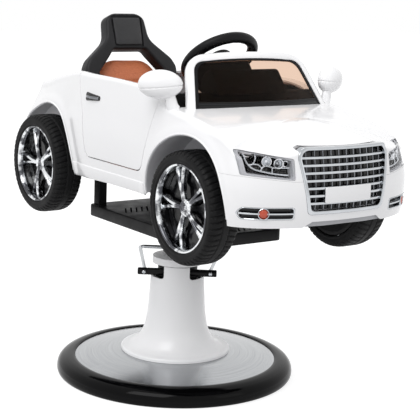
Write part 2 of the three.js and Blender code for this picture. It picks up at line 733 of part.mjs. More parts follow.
// ------------------------------------------------------------------ turntable and step board
function makeSwivelPlate() {
  const z0 = PLATFORM_Z - SEAT_GAP - SWIVEL_T;
  const bore = RAM_R + SEAT_GAP;
  return lathe([
    [bore, z0 - SWIVEL_HUB_H], [SWIVEL_HUB_R, z0 - SWIVEL_HUB_H], [SWIVEL_HUB_R, z0], [SWIVEL_R, z0],
    [SWIVEL_R, z0 + SWIVEL_T], [0, z0 + SWIVEL_T], [0, z0], [bore, z0], [bore, z0 - SWIVEL_HUB_H],
  ], ROUND_MEDIUM);
}

function makeStepPlatform() {
  const [x, y0, y1] = [PLATFORM_HALF_X, PLATFORM_Y - PLATFORM_HALF_Y, PLATFORM_Y + PLATFORM_HALF_Y];
  const c = PLATFORM_CORNER;
  const top = PLATFORM_Z + PLATFORM_T;
  const board = prismZ([[-x, y0, c], [x, y0, c], [x, y1, c], [-x, y1, c]], PLATFORM_Z, top);
  const slots = [];
  for (const row of [-1, 1]) {
    for (let i = 0; i < SLOT_COUNT; i += 1) {
      const x0 = (i - (SLOT_COUNT - 1) / 2) * SLOT_PITCH;
      const y = PLATFORM_Y + row * SLOT_ROW_Y;
      const [lean, half, w] = [SLOT_SLANT / 2, SLOT_LENGTH / 2, SLOT_WIDTH / 2];
      const [nearX, farX] = [x0 - lean, x0 + lean];
      slots.push(prismZ([
        [nearX - w, y - half], [nearX + w, y - half], [farX + w, y + half], [farX - w, y + half],
      ], top - SLOT_DEPTH, top + SLOT_DEPTH));
    }
  }
  return board.subtract(union(slots));
}

function makePost(sideX, sideY) {
  const [x, y, half] = [sideX * POST_X, PLATFORM_Y + sideY * POST_Y, POST_SIZE / 2];
  const z0 = PLATFORM_Z + PLATFORM_T + SEAT_GAP;
  const z1 = FLOOR_Z - SEAT_GAP;
  const bore = half - POST_WALL;
  return box(x - half, x + half, y - half, y + half, z0, z1)
    .subtract(box(x - bore, x + bore, y - bore, y + bore, z0 - POST_SIZE, z1 + POST_SIZE));
}

// ------------------------------------------------------------------ wheels and axles
function makeAxle(y) {
  const end = WHEEL_FACE_X - AXLE_END_INSET;
  return rodX(AXLE_R, -end, end, y, AXLE_Z, ROUND_SMALL);
}

// Wheels are turned about Z, then laid on their side with the outer face towards sideX.
function standWheel(solid, sideX, y) {
  return solid.rotate([0, sideX * 90, 0]).translate([sideX * (WHEEL_FACE_X - TYRE_WIDTH / 2), y, AXLE_Z]);
}

function makeTyre() {
  const half = TYRE_WIDTH / 2;
  const bead = RIM_R + SEAT_GAP;
  const side = [
    [bead, half - TYRE_BEAD / 2], [bead + TYRE_BEAD, half], [TYRE_R - TYRE_SHOULDER, half],
    [TYRE_R, half - TYRE_SHOULDER],
  ];
  const other = side.slice().reverse().map(([r, z]) => [r, -z]);
  return lathe([...side, ...other, side[0]], ROUND_WHEEL);
}

function makeRim() {
  const face = TYRE_WIDTH / 2 - RIM_INSET;
  const back = face - RIM_WIDTH;
  const barrel = lathe([
    [RIM_R - RIM_LIP, face - RIM_LIP], [RIM_R - RIM_LIP / 2, face], [RIM_R, face - SEAT_GAP], [RIM_R, back],
    [RIM_R - RIM_WALL, back], [RIM_R - RIM_LIP, face - RIM_LIP],
  ], ROUND_WHEEL);
  const hub = rod(HUB_R, back, face - SPOKE_FACE_INSET, ROUND_SMALL);
  const root = face - SPOKE_FACE_INSET - SEAT_GAP;
  const tip = root - SPOKE_DISH;
  const reach = RIM_R - RIM_WALL / 2;
  const blade = prismY([
    [0, root], [reach, tip], [reach, tip - SPOKE_DEPTH], [0, root - SPOKE_DEPTH],
  ], -REACH, REACH);
  const taper = prismZ([
    [0, -SPOKE_ROOT / 2], [reach, -SPOKE_TIP / 2], [reach, SPOKE_TIP / 2], [0, SPOKE_ROOT / 2],
  ], -REACH, REACH);
  const spoke = blade.intersect(taper);
  const spokes = [];
  for (let i = 0; i < SPOKE_COUNT; i += 1) {
    spokes.push(spoke.rotate([0, 0, 360 * (i + SPOKE_PHASE) / SPOKE_COUNT]));
  }
  const bore = rod(boreFor(AXLE_R, ROUND_SMALL), back - HUB_CAP, face - HUB_CAP, ROUND_SMALL);
  return union([barrel, hub, ...spokes]).subtract(bore);
}

// ------------------------------------------------------------------ body shell and its panels
const sides = [-1, 1];
const bothSides = (solid) => solid.add(mirrorX(solid));
const onSide = (solid, side) => (side > 0 ? solid : mirrorX(solid));

function archCutter(radius, y, x0) {
  return bothSides(rodX(radius, x0, REACH, y, AXLE_Z, ROUND_ARCH));
}

function doorPrism(front, foot, rear) {
  return prismX([
    [DOOR_FRONT_FOOT_Y + front, DOOR_FOOT_Z + foot, DOOR_CORNER],
    [DOOR_REAR_FOOT_Y - rear, DOOR_FOOT_Z + foot, DOOR_CORNER], [DOOR_REAR_Y - rear, DOOR_KNEE_Z],
    [DOOR_REAR_TOP_Y - rear, DOOR_REAR_TOP_Z], [DOOR_REAR_TOP_Y - rear, 2 * REACH],
    [DOOR_HINGE_Y + front, 2 * REACH], [DOOR_HINGE_Y + front, DOOR_TOP_FRONT_Z],
    [DOOR_KNEE_Y + front, DOOR_KNEE_Z],
  ], DOOR_INNER_X, REACH);
}

// Front cover: everything ahead of the front arches and below the lamps.
function frontBumperPrism(grow) {
  const half = [
    [REACH, BUMPER_SEAM_Z + grow], [LAMP_OUTER_X, BUMPER_SEAM_Z + grow],
    [LAMP_INNER_X, LAMP_FOOT_INNER_Z - LAMP_SEAM_DROP + grow],
  ];
  return prismY(withOtherHalf([[REACH, 0], ...half]), -2 * REACH, FRONT_AXLE_Y);
}

function rearBumperPrism(grow) {
  return box(-REACH, REACH, REAR_AXLE_Y, 2 * REACH, 0, REAR_BUMPER_Z + grow);
}

function grillePrism(grow) {
  const half = [
    [GRILLE_FOOT_HALF + grow, GRILLE_FOOT_Z - grow, GRILLE_FOOT_CORNER],
    [GRILLE_WIDE_HALF + grow, GRILLE_WIDE_Z, GRILLE_TOP_CORNER],
    [GRILLE_TOP_HALF + grow, GRILLE_TOP_Z + grow, GRILLE_TOP_CORNER],
  ];
  return prismY(withOtherHalf(half), -2 * REACH, NOSE_Y + NOSE_LENGTH / 2);
}

function lampPrism(grow) {
  const [inner, outer] = [LAMP_INNER_X - grow, LAMP_OUTER_X + grow];
  return prismY([
    [inner, LAMP_FOOT_INNER_Z - grow, LAMP_CORNER], [outer, LAMP_FOOT_OUTER_Z - grow],
    [outer, LAMP_TOP_OUTER_Z + grow], [inner, LAMP_TOP_INNER_Z + grow, LAMP_CORNER],
  ], -2 * REACH, LAMP_REAR_Y + grow);
}

function fogPrism(grow) {
  const half = FOG_HALF_H + grow;
  const shoulder = FOG_OUTER_X - FOG_HALF_H / 2;
  return prismY([
    [FOG_INNER_X - grow, FOG_Z - half, FOG_CORNER], [shoulder, FOG_Z - half, FOG_CORNER],
    [FOG_OUTER_X + grow, FOG_Z], [shoulder, FOG_Z + half, FOG_CORNER],
    [FOG_INNER_X - grow, FOG_Z + half, FOG_CORNER],
  ], -2 * REACH, FOG_REAR_Y);
}

function tailLampPrism(grow) {
  const [inner, outer] = [TAIL_LAMP_INNER_X - grow, TAIL_LAMP_OUTER_X + grow];
  const [foot, top] = [TAIL_LAMP_FOOT_Z - grow, TAIL_LAMP_TOP_Z + grow];
  return prismY([
    [inner, foot, TAIL_LAMP_CORNER], [outer, foot], [outer, top], [inner, top, TAIL_LAMP_CORNER],
  ], TAIL_LAMP_FRONT_Y, 2 * REACH);
}

const skin = bodyBlock(0, 0).subtract(bodyBlock(SHELL_WALL, BELOW_FOOT));
const clearOfBody = bodyBlock(-SEAT_GAP, 0);
const arches = archCutter(FRONT_ARCH_R, FRONT_AXLE_Y, LINER_INNER_X).add(
  archCutter(REAR_ARCH_R, REAR_AXLE_Y, LINER_INNER_X));

function cockpitPrism() {
  const [x, y0, y1, c] = [COCKPIT_HALF, COCKPIT_FRONT_Y, COCKPIT_REAR_Y, COCKPIT_CORNER];
  return prismZ([
    [-x, y0], [x, y0], [x, y1 - COCKPIT_TAPER_Y, c], [COCKPIT_REAR_HALF, y1, c / 2],
    [-COCKPIT_REAR_HALF, y1, c / 2], [-x, y1 - COCKPIT_TAPER_Y, c],
  ], WAIST_CUT_Z, 3 * REACH);
}

function makeBodyShell() {
  const cutters = [
    arches, cockpitPrism(), bothSides(doorPrism(0, 0, 0)), frontBumperPrism(BUMPER_SEAM_GAP),
    rearBumperPrism(BUMPER_SEAM_GAP), bothSides(lampPrism(SEAT_GAP)), bothSides(tailLampPrism(SEAT_GAP)),
    grillePrism(GRILLE_FRAME + SEAT_GAP),
  ];
  return skin.subtract(union(cutters));
}

function makeDoor(side) {
  const opening = doorPrism(DOOR_FRONT_GAP, DOOR_SHUT_GAP, DOOR_SHUT_GAP);
  return onSide(skin.intersect(opening).subtract(cockpitPrism()), side);
}

function makeFrontBumper() {
  const cutters = [arches, grillePrism(GRILLE_FRAME + SEAT_GAP), bothSides(fogPrism(SEAT_GAP))];
  return skin.intersect(frontBumperPrism(0)).subtract(union(cutters));
}

function makeRearBumper() {
  return skin.intersect(rearBumperPrism(0)).subtract(arches);
}

// A panel that follows the body's surface between two depths below it.
const layer = (from, to) => bodyBlock(from, 0).subtract(bodyBlock(to, BELOW_FOOT));

function makeGrilleSurround() {
  return layer(-GRILLE_PROUD, GRILLE_DEPTH).intersect(grillePrism(GRILLE_FRAME).subtract(grillePrism(0)));
}

function makeGrille() {
  const [z0, z1] = [GRILLE_FOOT_Z + SEAT_GAP, GRILLE_TOP_Z - SEAT_GAP];
  const pitch = (z1 - z0) / (GRILLE_BARS + 1);
  const bars = [];
  for (let i = 0; i < GRILLE_BARS; i += 1) {
    const z = z0 + (i + 1) * pitch - GRILLE_BAR_H / 2;
    bars.push(box(-REACH, REACH, -2 * REACH, 0, z, z + GRILLE_BAR_H));
  }
  for (let i = 0; i < GRILLE_POSTS; i += 1) {
    const x = (i - (GRILLE_POSTS - 1) / 2) * 2 * GRILLE_FOOT_HALF / GRILLE_POSTS;
    bars.push(box(x - GRILLE_POST_W / 2, x + GRILLE_POST_W / 2, -2 * REACH, 0, z0, z1));
  }
  return layer(PLATE_T, GRILLE_DEPTH).intersect(grillePrism(-SEAT_GAP)).intersect(union(bars));
}

function makeNumberPlate() {
  return layer(-SEAT_GAP, PLATE_T - SEAT_GAP)
    .intersect(box(-PLATE_HALF, PLATE_HALF, -2 * REACH, 0, PLATE_FOOT_Z, PLATE_TOP_Z));
}

function makeHeadlamp(side) {
  return onSide(layer(SEAT_GAP, LAMP_DEPTH).intersect(lampPrism(0)), side);
}

const fogStation = Math.asin(FOG_LAMP_X / FRONT_HALF) / (Math.PI / 2);
function fogCylinder(radius, from, to) {
  const [px, py] = planPoint(fogStation);
  const [nx, ny] = planNormal(fogStation);
  const geometry = new THREE.CylinderGeometry(radius, radius, to - from, ROUND_SMALL);
  geometry.translate(0, (from + to) / 2, 0).rotateZ(Math.atan2(ny, nx) - Math.PI / 2);
  return toSolid(geometry.translate(px, py, FOG_Z));
}

function makeFogTrim(side) {
  const trim = layer(-FOG_TRIM_PROUD, FOG_DEPTH).intersect(fogPrism(0));
  return onSide(trim.subtract(fogCylinder(FOG_LAMP_R + SEAT_GAP, -2 * FOG_DEPTH, 2 * FOG_DEPTH)), side);
}

function makeFogLamp(side) {
  return onSide(fogCylinder(FOG_LAMP_R, -FOG_DEPTH, FOG_LAMP_PROUD), side);
}

function makeTailLamp(side) {
  return onSide(layer(SEAT_GAP, TAIL_LAMP_DEPTH).intersect(tailLampPrism(0)), side);
}

function makeDoorHandle(side) {
  const [front, rear] = [HANDLE_Y - HANDLE_LENGTH / 2, HANDLE_Y + HANDLE_LENGTH / 2];
  const half = HANDLE_H / 2;
  const patch = prismX([
    [front, HANDLE_Z - half / 2, half / 4], [rear, HANDLE_Z - half, half / 2],
    [rear, HANDLE_Z + half, half / 2], [front, HANDLE_Z + half / 2, half / 4],
  ], 0, REACH);
  return onSide(layer(-HANDLE_PROUD, -SEAT_GAP).intersect(patch), side);
}

// Floor with the wheel wells' liners and the lugs that carry the axles.
function makeChassisTub() {
  const inside = bodyBlock(SHELL_WALL + SEAT_GAP, BELOW_FOOT);
  const slab = box(-REACH, REACH, FLOOR_FRONT_Y, FLOOR_REAR_Y, FLOOR_Z, FLOOR_Z + FLOOR_T).intersect(inside);
  const wells = [[FRONT_AXLE_Y, FRONT_ARCH_R], [REAR_AXLE_Y, REAR_ARCH_R]];
  const parts = wells.map(([y, arch]) => {
    const radius = arch - LINER_GAP;
    const [start, wall] = [LINER_INNER_X, ARCH_LINER_T];
    const full = rodX(radius, start, REACH, y, AXLE_Z, ROUND_ARCH);
    const hollow = rodX(radius - wall, start + wall, REACH, y, AXLE_Z, ROUND_ARCH);
    const above = box(-REACH, REACH, -2 * REACH, 2 * REACH, FLOOR_Z, 2 * REACH);
    return { hollow: bothSides(hollow), liner: bothSides(full.subtract(hollow).intersect(above)) };
  });
  const lips = bodyBlock(LINER_LIP, BELOW_FOOT);
  const liners = union(parts.map(({ liner }) => liner)).intersect(lips);
  const tub = slab.subtract(union(parts.map(({ hollow }) => hollow))).add(liners);
  const lugs = wells.flatMap(([y]) => sides.map((side) => {
    const x = side * LUG_X;
    const [z0, z1] = [FLOOR_Z - LUG_DROP, FLOOR_Z + FLOOR_T / 2];
    const lug = box(x - LUG_T / 2, x + LUG_T / 2, y - LUG_HALF_Y, y + LUG_HALF_Y, z0, z1);
    return lug.subtract(rodX(boreFor(AXLE_R, ROUND_SMALL), x - LUG_T, x + LUG_T, y, AXLE_Z, ROUND_SMALL));
  }));
  return union([tub, ...lugs]);
}

// ------------------------------------------------------------------ windscreen and mirrors
// Point of the screen: s runs across from -1 to 1, t up from foot to head.
function screenPoint(s, t, extra, depth) {
  const bow = 1 - s * s;
  const { lerp } = THREE.MathUtils;
  const half = lerp(SCREEN_FOOT_HALF, SCREEN_HEAD_HALF, t) + extra;
  const y = lerp(SCREEN_FOOT_Y - SCREEN_FOOT_BOW * bow, SCREEN_HEAD_Y - SCREEN_HEAD_BOW * bow, t);
  const z = lerp(SCREEN_FOOT_Z, SCREEN_HEAD_Z + SCREEN_HEAD_RISE * bow, t);
  return [s * half, y + depth * screenNormal.y, z + depth * screenNormal.z];
}

// Direction through the pane, from its front to its back.
const screenRise = new THREE.Vector3(0, SCREEN_HEAD_Y - SCREEN_FOOT_Y, SCREEN_HEAD_Z - SCREEN_FOOT_Z);
const screenNormal = new THREE.Vector3(0, screenRise.z, -screenRise.y).normalize();

function screenPanel(t0, t1, extra, front, back) {
  const rows = [];
  for (let i = 0; i <= SCREEN_STEPS; i += 1) {
    const s = 2 * i / SCREEN_STEPS - 1;
    rows.push([
      screenPoint(s, t0, extra, front), screenPoint(s, t1, extra, front),
      screenPoint(s, t1, extra, back), screenPoint(s, t0, extra, back),
    ]);
  }
  const middle = (row) => row.map(() => [0, 1, 2].map((k) => row.reduce((sum, p) => sum + p[k] / 4, 0)));
  return gridSolid([middle(rows[0]), ...rows, middle(rows[SCREEN_STEPS])]);
}

function makeWindscreenFrame() {
  const head = 1 + SCREEN_FRAME / screenRise.length();
  const whole = screenPanel(SCREEN_SUNK, head, SCREEN_FRAME, 0, SCREEN_FRAME_T);
  const hole = screenPanel(2 * SCREEN_SUNK, 1, 0, -SCREEN_FRAME_T, 2 * SCREEN_FRAME_T);
  return whole.subtract(hole).subtract(clearOfBody);
}

function makeWindscreen() {
  const head = 1 - SEAT_GAP / screenRise.length();
  const front = SCREEN_PANE_INSET;
  return screenPanel(SCREEN_SUNK, head, -SEAT_GAP, front, front + SCREEN_PANE_T).subtract(clearOfBody);
}

function makeMirror(side) {
  const shell = new THREE.SphereGeometry(1, ROUND_SMALL, MIRROR_RINGS).rotateX(Math.PI / 2);
  shell.scale(MIRROR_HALF_W, MIRROR_HALF_D, MIRROR_HALF_H).rotateZ(MIRROR_TURN);
  const housing = toSolid(shell.translate(MIRROR_X, MIRROR_Y, MIRROR_Z));
  const stem = rod(MIRROR_STEM_R, MIRROR_Z - 2 * MIRROR_HALF_H, MIRROR_Z, MIRROR_STEM_SIDES)
    .translate([MIRROR_STEM_X, MIRROR_STEM_Y, 0]);
  return onSide(housing.add(stem).subtract(clearOfBody), side);
}

// ------------------------------------------------------------------ cabin
// Pieces square to the steering wheel are made about its centre, then tilted.
function tiltToWheel(solid) {
  const tilt = THREE.MathUtils.radToDeg(WHEEL_TILT);
  return solid.rotate([-tilt, 0, 0]).translate([0, WHEEL_CENTRE_Y, WHEEL_CENTRE_Z]);
}

function columnRod(radius, from) {
  return tiltToWheel(rod(radius, -COLUMN_LENGTH - WHEEL_HUB_T, from, ROUND_SMALL));
}

function makeDashboard() {
  const front = COCKPIT_FRONT_Y + SEAT_GAP;
  const half = COCKPIT_HALF - SEAT_GAP;
  const block = prismX([
    [front, DASH_FOOT_Z], [DASH_REAR_Y, DASH_FOOT_Z, DASH_CORNER], [DASH_REAR_Y, DASH_BROW_Z, DASH_CORNER],
    [DASH_TOP_Y, DASH_TOP_Z, DASH_CORNER], [front, DASH_FRONT_Z],
  ], -half, half);
  return block.subtract(columnRod(boreFor(COLUMN_R, ROUND_SMALL), 0));
}

function makeSteeringColumn() {
  return columnRod(COLUMN_R, -WHEEL_HUB_T / 2 - SEAT_GAP);
}

function makeSteeringWheel() {
  const grip = toSolid(new THREE.TorusGeometry(WHEEL_RING_R, WHEEL_GRIP_R, WHEEL_GRIP_SIDES, ROUND_MEDIUM));
  const hub = rod(WHEEL_HUB_R, -WHEEL_HUB_T / 2, WHEEL_HUB_T / 2, ROUND_SMALL);
  const [w, t] = [WHEEL_SPOKE_W / 2, WHEEL_SPOKE_T / 2];
  const across = box(-WHEEL_RING_R, WHEEL_RING_R, -w, w, -t, t);
  const down = box(-w, w, 0, WHEEL_RING_R, -t, t);
  return tiltToWheel(union([grip, hub, across, down]));
}

// A stuffed pad standing on the plane z = 0. Its rings swell out at the side and crown:
// [scale of the outline, part of the thickness], then [scale, part of the crown below the top].
const PAD_SIDE = [[0, 0], [0.97, 0], [0.995, 0.2], [1, 0.45], [0.985, 0.72]];
const PAD_CROWN = [[0.93, 0.8], [0.75, 0.35], [0.4, 0.08], [0, 0]];
function pad(corners, thickness, crown) {
  const flat = outline(corners).getPoints(CURVE_STEPS);
  if (flat[0].distanceTo(flat[flat.length - 1]) < WELD) flat.pop();
  const around = [];
  flat.forEach((point, k) => {
    const next = flat[(k + 1) % flat.length];
    const cuts = Math.max(1, Math.round(point.distanceTo(next) / PAD_STEP));
    for (let i = 0; i < cuts; i += 1) around.push(point.clone().lerp(next, i / cuts));
  });
  const total = around.reduce((sum, point) => sum.add(point), new THREE.Vector2());
  const centre = total.divideScalar(around.length);
  const ringAt = (scale, z) => around.map((point) => {
    const p = point.clone().sub(centre).multiplyScalar(scale).add(centre);
    return [p.x, p.y, z];
  });
  const sidesOfPad = PAD_SIDE.map(([scale, rise]) => ringAt(scale, rise * thickness));
  const crownOfPad = PAD_CROWN.map(([scale, fall]) => ringAt(scale, thickness - fall * crown));
  return gridSolid([...sidesOfPad, ...crownOfPad]);
}

function makeSeatPan() {
  const z0 = FLOOR_Z + FLOOR_T + SEAT_GAP;
  const [x, y0, y1] = [SEAT_HALF + SEAT_PAN_EDGE, SEAT_FRONT_Y - SEAT_PAN_EDGE, SEAT_REAR_Y + SEAT_PAN_EDGE];
  const c = CUSHION_CORNER;
  return prismZ([[-x, y0, c], [x, y0, c], [x, y1, c], [-x, y1, c]], z0, SEAT_PAN_Z);
}

function makeSeatBase() {
  const [x, y0, y1, bow, c] = [SEAT_HALF, SEAT_FRONT_Y, SEAT_BASE_REAR_Y, CUSHION_DRAW, CUSHION_CORNER];
  const middle = (y0 + y1) / 2;
  return pad([
    [-x, y0, c], [0, y0 + bow], [x, y0, c], [x - bow, middle], [x, y1, c], [0, y1 - bow], [-x, y1, c],
    [-x + bow, middle],
  ], CUSHION_T, CUSHION_CROWN).translate([0, 0, SEAT_PAN_Z + SEAT_GAP]);
}

// Lays a solid drawn with x across, y up and z forwards onto the leaning backrest plane.
function leanBack(solid) {
  const lean = THREE.MathUtils.radToDeg(BACK_LEAN);
  return solid.rotate([90 - lean, 0, 0]).translate([0, BACK_FOOT_Y, BACK_FOOT_Z]);
}
// Distances up the slope for a height above the floor, on the headrest's front face.
const upFront = (z) => (z - BACK_FOOT_Z - HEADREST_PROUD * Math.sin(BACK_LEAN)) / Math.cos(BACK_LEAN);

// Inner edge of the headrest's legs, from foot to knee, as half widths.
function legEdge(grow, foot, kneeCorner) {
  const inner = HEADREST_ARM_HALF - HEADREST_ARM_W + grow;
  const knee = [HEADREST_KNEE_HALF + grow, upFront(HEADREST_KNEE_Z), kneeCorner];
  return [[inner, foot], [inner, upFront(HEADREST_LEG_Z)], knee];
}

function makeSeatBack() {
  const corners = withOtherHalf(legEdge(-BACK_SIDE_GAP, 0, BACK_CORNER));
  return leanBack(pad(corners, BACK_T, CUSHION_CROWN).translate([0, 0, -BACK_T]));
}

// The legs stand on the seat pan, so their foot is cut level.
const HEADREST_BELOW = -2 * HEADREST_T;
function headrestOutline() {
  const slope = HEADREST_TOP_SLOPE;
  return withOtherHalf([
    [HEADREST_ARM_HALF, HEADREST_BELOW],
    [HEADREST_ARM_HALF, upFront(HEADREST_ARM_Z - HEADREST_ARM_DROP), slope / 2],
    [HEADREST_ARM_HALF - slope, upFront(HEADREST_ARM_Z), slope / 2],
    [HEADREST_NECK_HALF, upFront(HEADREST_NECK_Z), slope],
    [HEADREST_TOP_HALF, upFront(HEADREST_TOP_Z - slope), slope],
    [HEADREST_TOP_HALF - 2 * slope, upFront(HEADREST_TOP_Z), slope / 2],
  ]);
}

function headrestPadCorners(grow) {
  const half = HEADREST_PAD_HALF + grow;
  const [foot, top] = [upFront(HEADREST_PAD_FOOT_Z) - grow, upFront(HEADREST_PAD_TOP_Z) + grow];
  const c = HEADREST_PAD_CORNER;
  return [[half - c / 2, foot, c], [half, top, c], [-half, top, c], [c / 2 - half, foot, c]];
}

function makeHeadrestFrame() {
  const body = toSolid(prism(headrestOutline(), HEADREST_T)).translate([0, 0, HEADREST_PROUD - HEADREST_T]);
  const headOfHole = [HEADREST_HOLE_HALF, upFront(HEADREST_HOLE_Z), HEADREST_PAD_CORNER];
  const edge = [...legEdge(0, HEADREST_BELOW, 0), headOfHole];
  const hole = toSolid(prism(withOtherHalf(edge), REACH)).translate([0, 0, -REACH / 2]);
  const pocketFloor = HEADREST_PROUD + HEADREST_PAD_PROUD - HEADREST_PAD_T - SEAT_GAP;
  const pocket = toSolid(prism(headrestPadCorners(SEAT_GAP), REACH)).translate([0, 0, pocketFloor]);
  const below = box(-REACH, REACH, -REACH, REACH, 0, SEAT_PAN_Z + SEAT_GAP);
  return leanBack(body.subtract(hole).subtract(pocket)).subtract(below);
}

function makeHeadrestPad() {
  const shift = HEADREST_PROUD + HEADREST_PAD_PROUD - HEADREST_PAD_T;
  return leanBack(pad(headrestPadCorners(0), HEADREST_PAD_T, HEADREST_PAD_PROUD).translate([0, 0, shift]));
}

// ------------------------------------------------------------------ assembly
const finish = (color, roughness, metalness) => ({ color, roughness, metalness });
const WHITE_PAINT = finish('#f2f2f4', 0.18, 0);
const WHITE_PLASTIC = finish('#eeeeef', 0.3, 0);
const BLACK_PLASTIC = finish('#18181a', 0.45, 0);
const BLACK_RUBBER = finish('#141415', 0.8, 0);
const CHROME = finish('#cfd2d5', 0.12, 1);
const BRUSHED = finish('#a9abad', 0.35, 1);
const MACHINED = finish('#8b8e92', 0.4, 1);
const LINER_GREY = finish('#8f8f91', 0.6, 0);
const SMOKED = finish('#1c1c1f', 0.08, 0);
const TAN_LEATHER = finish('#b5603c', 0.6, 0);
const LAMP_CLEAR = finish('#c9cdd2', 0.1, 0.3);
const AMBER = finish('#c24a2c', 0.25, 0);
const RED_LENS = finish('#a3161b', 0.2, 0);

const model = new THREE.Group();
function place(name, solid, { color, roughness, metalness }) {
  const material = new THREE.MeshStandardMaterial({ color, roughness, metalness });
  const mesh = new THREE.Mesh(toGeometry(solid), material);
  mesh.name = name;
  model.add(mesh);
}

place('base_ring', makeBaseRing(), BLACK_RUBBER);
place('base_plate', makeBasePlate(), MACHINED);
place('base_dome', makeBaseDome(), BRUSHED);
place('pump_foot', makePumpFoot(), MACHINED);
place('pump_cylinder', makePumpCylinder(), MACHINED);
place('pump_head', makePumpHead(), BLACK_PLASTIC);
place('column_cover', makeColumnCover(), WHITE_PLASTIC);
place('collar_cover', makeCollarCover(), WHITE_PLASTIC);
place('ram', makeRam(), CHROME);
place('pedal_shaft', makePedalShaft(), BLACK_PLASTIC);
place('pedal_hoop', makePedalHoop(), CHROME);
place('swivel_plate', makeSwivelPlate(), MACHINED);
place('step_platform', makeStepPlatform(), BLACK_PLASTIC);
place('chassis_tub', makeChassisTub(), LINER_GREY);
place('body_shell', makeBodyShell(), WHITE_PAINT);
place('front_bumper', makeFrontBumper(), WHITE_PAINT);
place('rear_bumper', makeRearBumper(), WHITE_PAINT);
place('grille_surround', makeGrilleSurround(), CHROME);
place('grille', makeGrille(), CHROME);
place('number_plate', makeNumberPlate(), WHITE_PLASTIC);
place('windscreen_frame', makeWindscreenFrame(), WHITE_PAINT);
place('windscreen', makeWindscreen(), SMOKED);
place('dashboard', makeDashboard(), BLACK_PLASTIC);
place('steering_column', makeSteeringColumn(), BLACK_PLASTIC);
place('steering_wheel', makeSteeringWheel(), BLACK_PLASTIC);
place('seat_pan', makeSeatPan(), BLACK_PLASTIC);
place('seat_base', makeSeatBase(), TAN_LEATHER);
place('seat_back', makeSeatBack(), TAN_LEATHER);
place('headrest_frame', makeHeadrestFrame(), BLACK_PLASTIC);
place('headrest_pad', makeHeadrestPad(), BLACK_RUBBER);

for (const [end, y, sideY] of [['front', FRONT_AXLE_Y, -1], ['rear', REAR_AXLE_Y, 1]]) {
  place(`${end}_axle`, makeAxle(y), MACHINED);
  for (const [hand, sideX] of [['right', -1], ['left', 1]]) {
    place(`post_${end}_${hand}`, makePost(sideX, sideY), BLACK_PLASTIC);
    place(`tyre_${end}_${hand}`, standWheel(makeTyre(), sideX, y), BLACK_RUBBER);
    place(`rim_${end}_${hand}`, standWheel(makeRim(), sideX, y), CHROME);
  }
}

for (const [hand, side] of [['right', -1], ['left', 1]]) {
  place(`hoop_screw_${hand}`, makeHoopScrew(side), CHROME);
  place(`door_${hand}`, makeDoor(side), WHITE_PAINT);
  place(`door_handle_${hand}`, makeDoorHandle(side), BLACK_PLASTIC);
  place(`headlamp_${hand}`, makeHeadlamp(side), LAMP_CLEAR);
  place(`fog_trim_${hand}`, makeFogTrim(side), CHROME);
  place(`fog_lamp_${hand}`, makeFogLamp(side), AMBER);
  place(`tail_lamp_${hand}`, makeTailLamp(side), RED_LENS);
  place(`mirror_${hand}`, makeMirror(side), WHITE_PAINT);
}

export default model;
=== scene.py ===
# %% [markdown]
# # A children's salon chair: a ride-on car on a hydraulic pedestal
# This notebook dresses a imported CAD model. Every piece is a surface worked out with
# numpy, in millimetres, and put where the CAD node that it stands for lies. The car's
# front faces -Y, +Z is up, and the origin is on the floor under the column.

# %% Load the frame
import math

import bmesh
import bpy
import numpy as np
from mathutils import Matrix, Vector
from mathutils.bvhtree import BVHTree


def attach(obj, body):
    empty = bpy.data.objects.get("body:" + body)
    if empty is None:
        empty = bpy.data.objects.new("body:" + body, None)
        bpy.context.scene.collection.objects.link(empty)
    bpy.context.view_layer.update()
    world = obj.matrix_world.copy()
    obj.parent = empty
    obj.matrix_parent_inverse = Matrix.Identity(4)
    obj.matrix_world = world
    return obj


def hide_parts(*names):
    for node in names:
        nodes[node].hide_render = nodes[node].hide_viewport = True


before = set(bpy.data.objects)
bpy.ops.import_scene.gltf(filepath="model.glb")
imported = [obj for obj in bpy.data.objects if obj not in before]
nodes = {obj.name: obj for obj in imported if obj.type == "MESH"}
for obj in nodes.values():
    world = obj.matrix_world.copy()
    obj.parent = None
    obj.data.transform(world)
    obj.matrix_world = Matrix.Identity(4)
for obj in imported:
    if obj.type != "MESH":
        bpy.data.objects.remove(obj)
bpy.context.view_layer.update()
MM = 0.001

# %% [markdown]
# ## Meshes from arrays
# Moulded and turned parts are smooth sheets. They could be modelled by hand, but a formula
# is easier to change. So a surface is a grid of points: its rows follow one parameter,
# and its columns the other.

# %% Grid faces
def grid_faces(rows, cols, wrap_rows=False, wrap_cols=False):
    """Quads between neighbouring points (i, j), (i+1, j), (i+1, j+1), (i, j+1)."""
    i = np.arange(rows if wrap_rows else rows - 1)[:, None]
    j = np.arange(cols if wrap_cols else cols - 1)[None, :]
    i1, j1 = (i + 1) % rows, (j + 1) % cols
    quads = np.stack([i * cols + j, i1 * cols + j, i1 * cols + j1, i * cols + j1], -1)
    return quads.reshape(-1, 4)


print("a grid of 3 x 4 points has", len(grid_faces(3, 4)), "faces")

# %% [markdown]
# Where two edges of a grid meet, or a row shrinks to a pole, points lie on each other.
# Merging them closes the surface, as booleans and smooth shading need it.

# %% Mesh objects
WELD_MM = 0.02


def weld(obj):
    """Merges doubles, drops faces without area and points the normals outwards."""
    work = bmesh.new()
    work.from_mesh(obj.data)
    bmesh.ops.remove_doubles(work, verts=work.verts, dist=WELD_MM * MM)
    bmesh.ops.dissolve_degenerate(work, edges=work.edges, dist=WELD_MM * MM / 2)
    bmesh.ops.recalc_face_normals(work, faces=work.faces)
    work.to_mesh(obj.data)
    work.free()


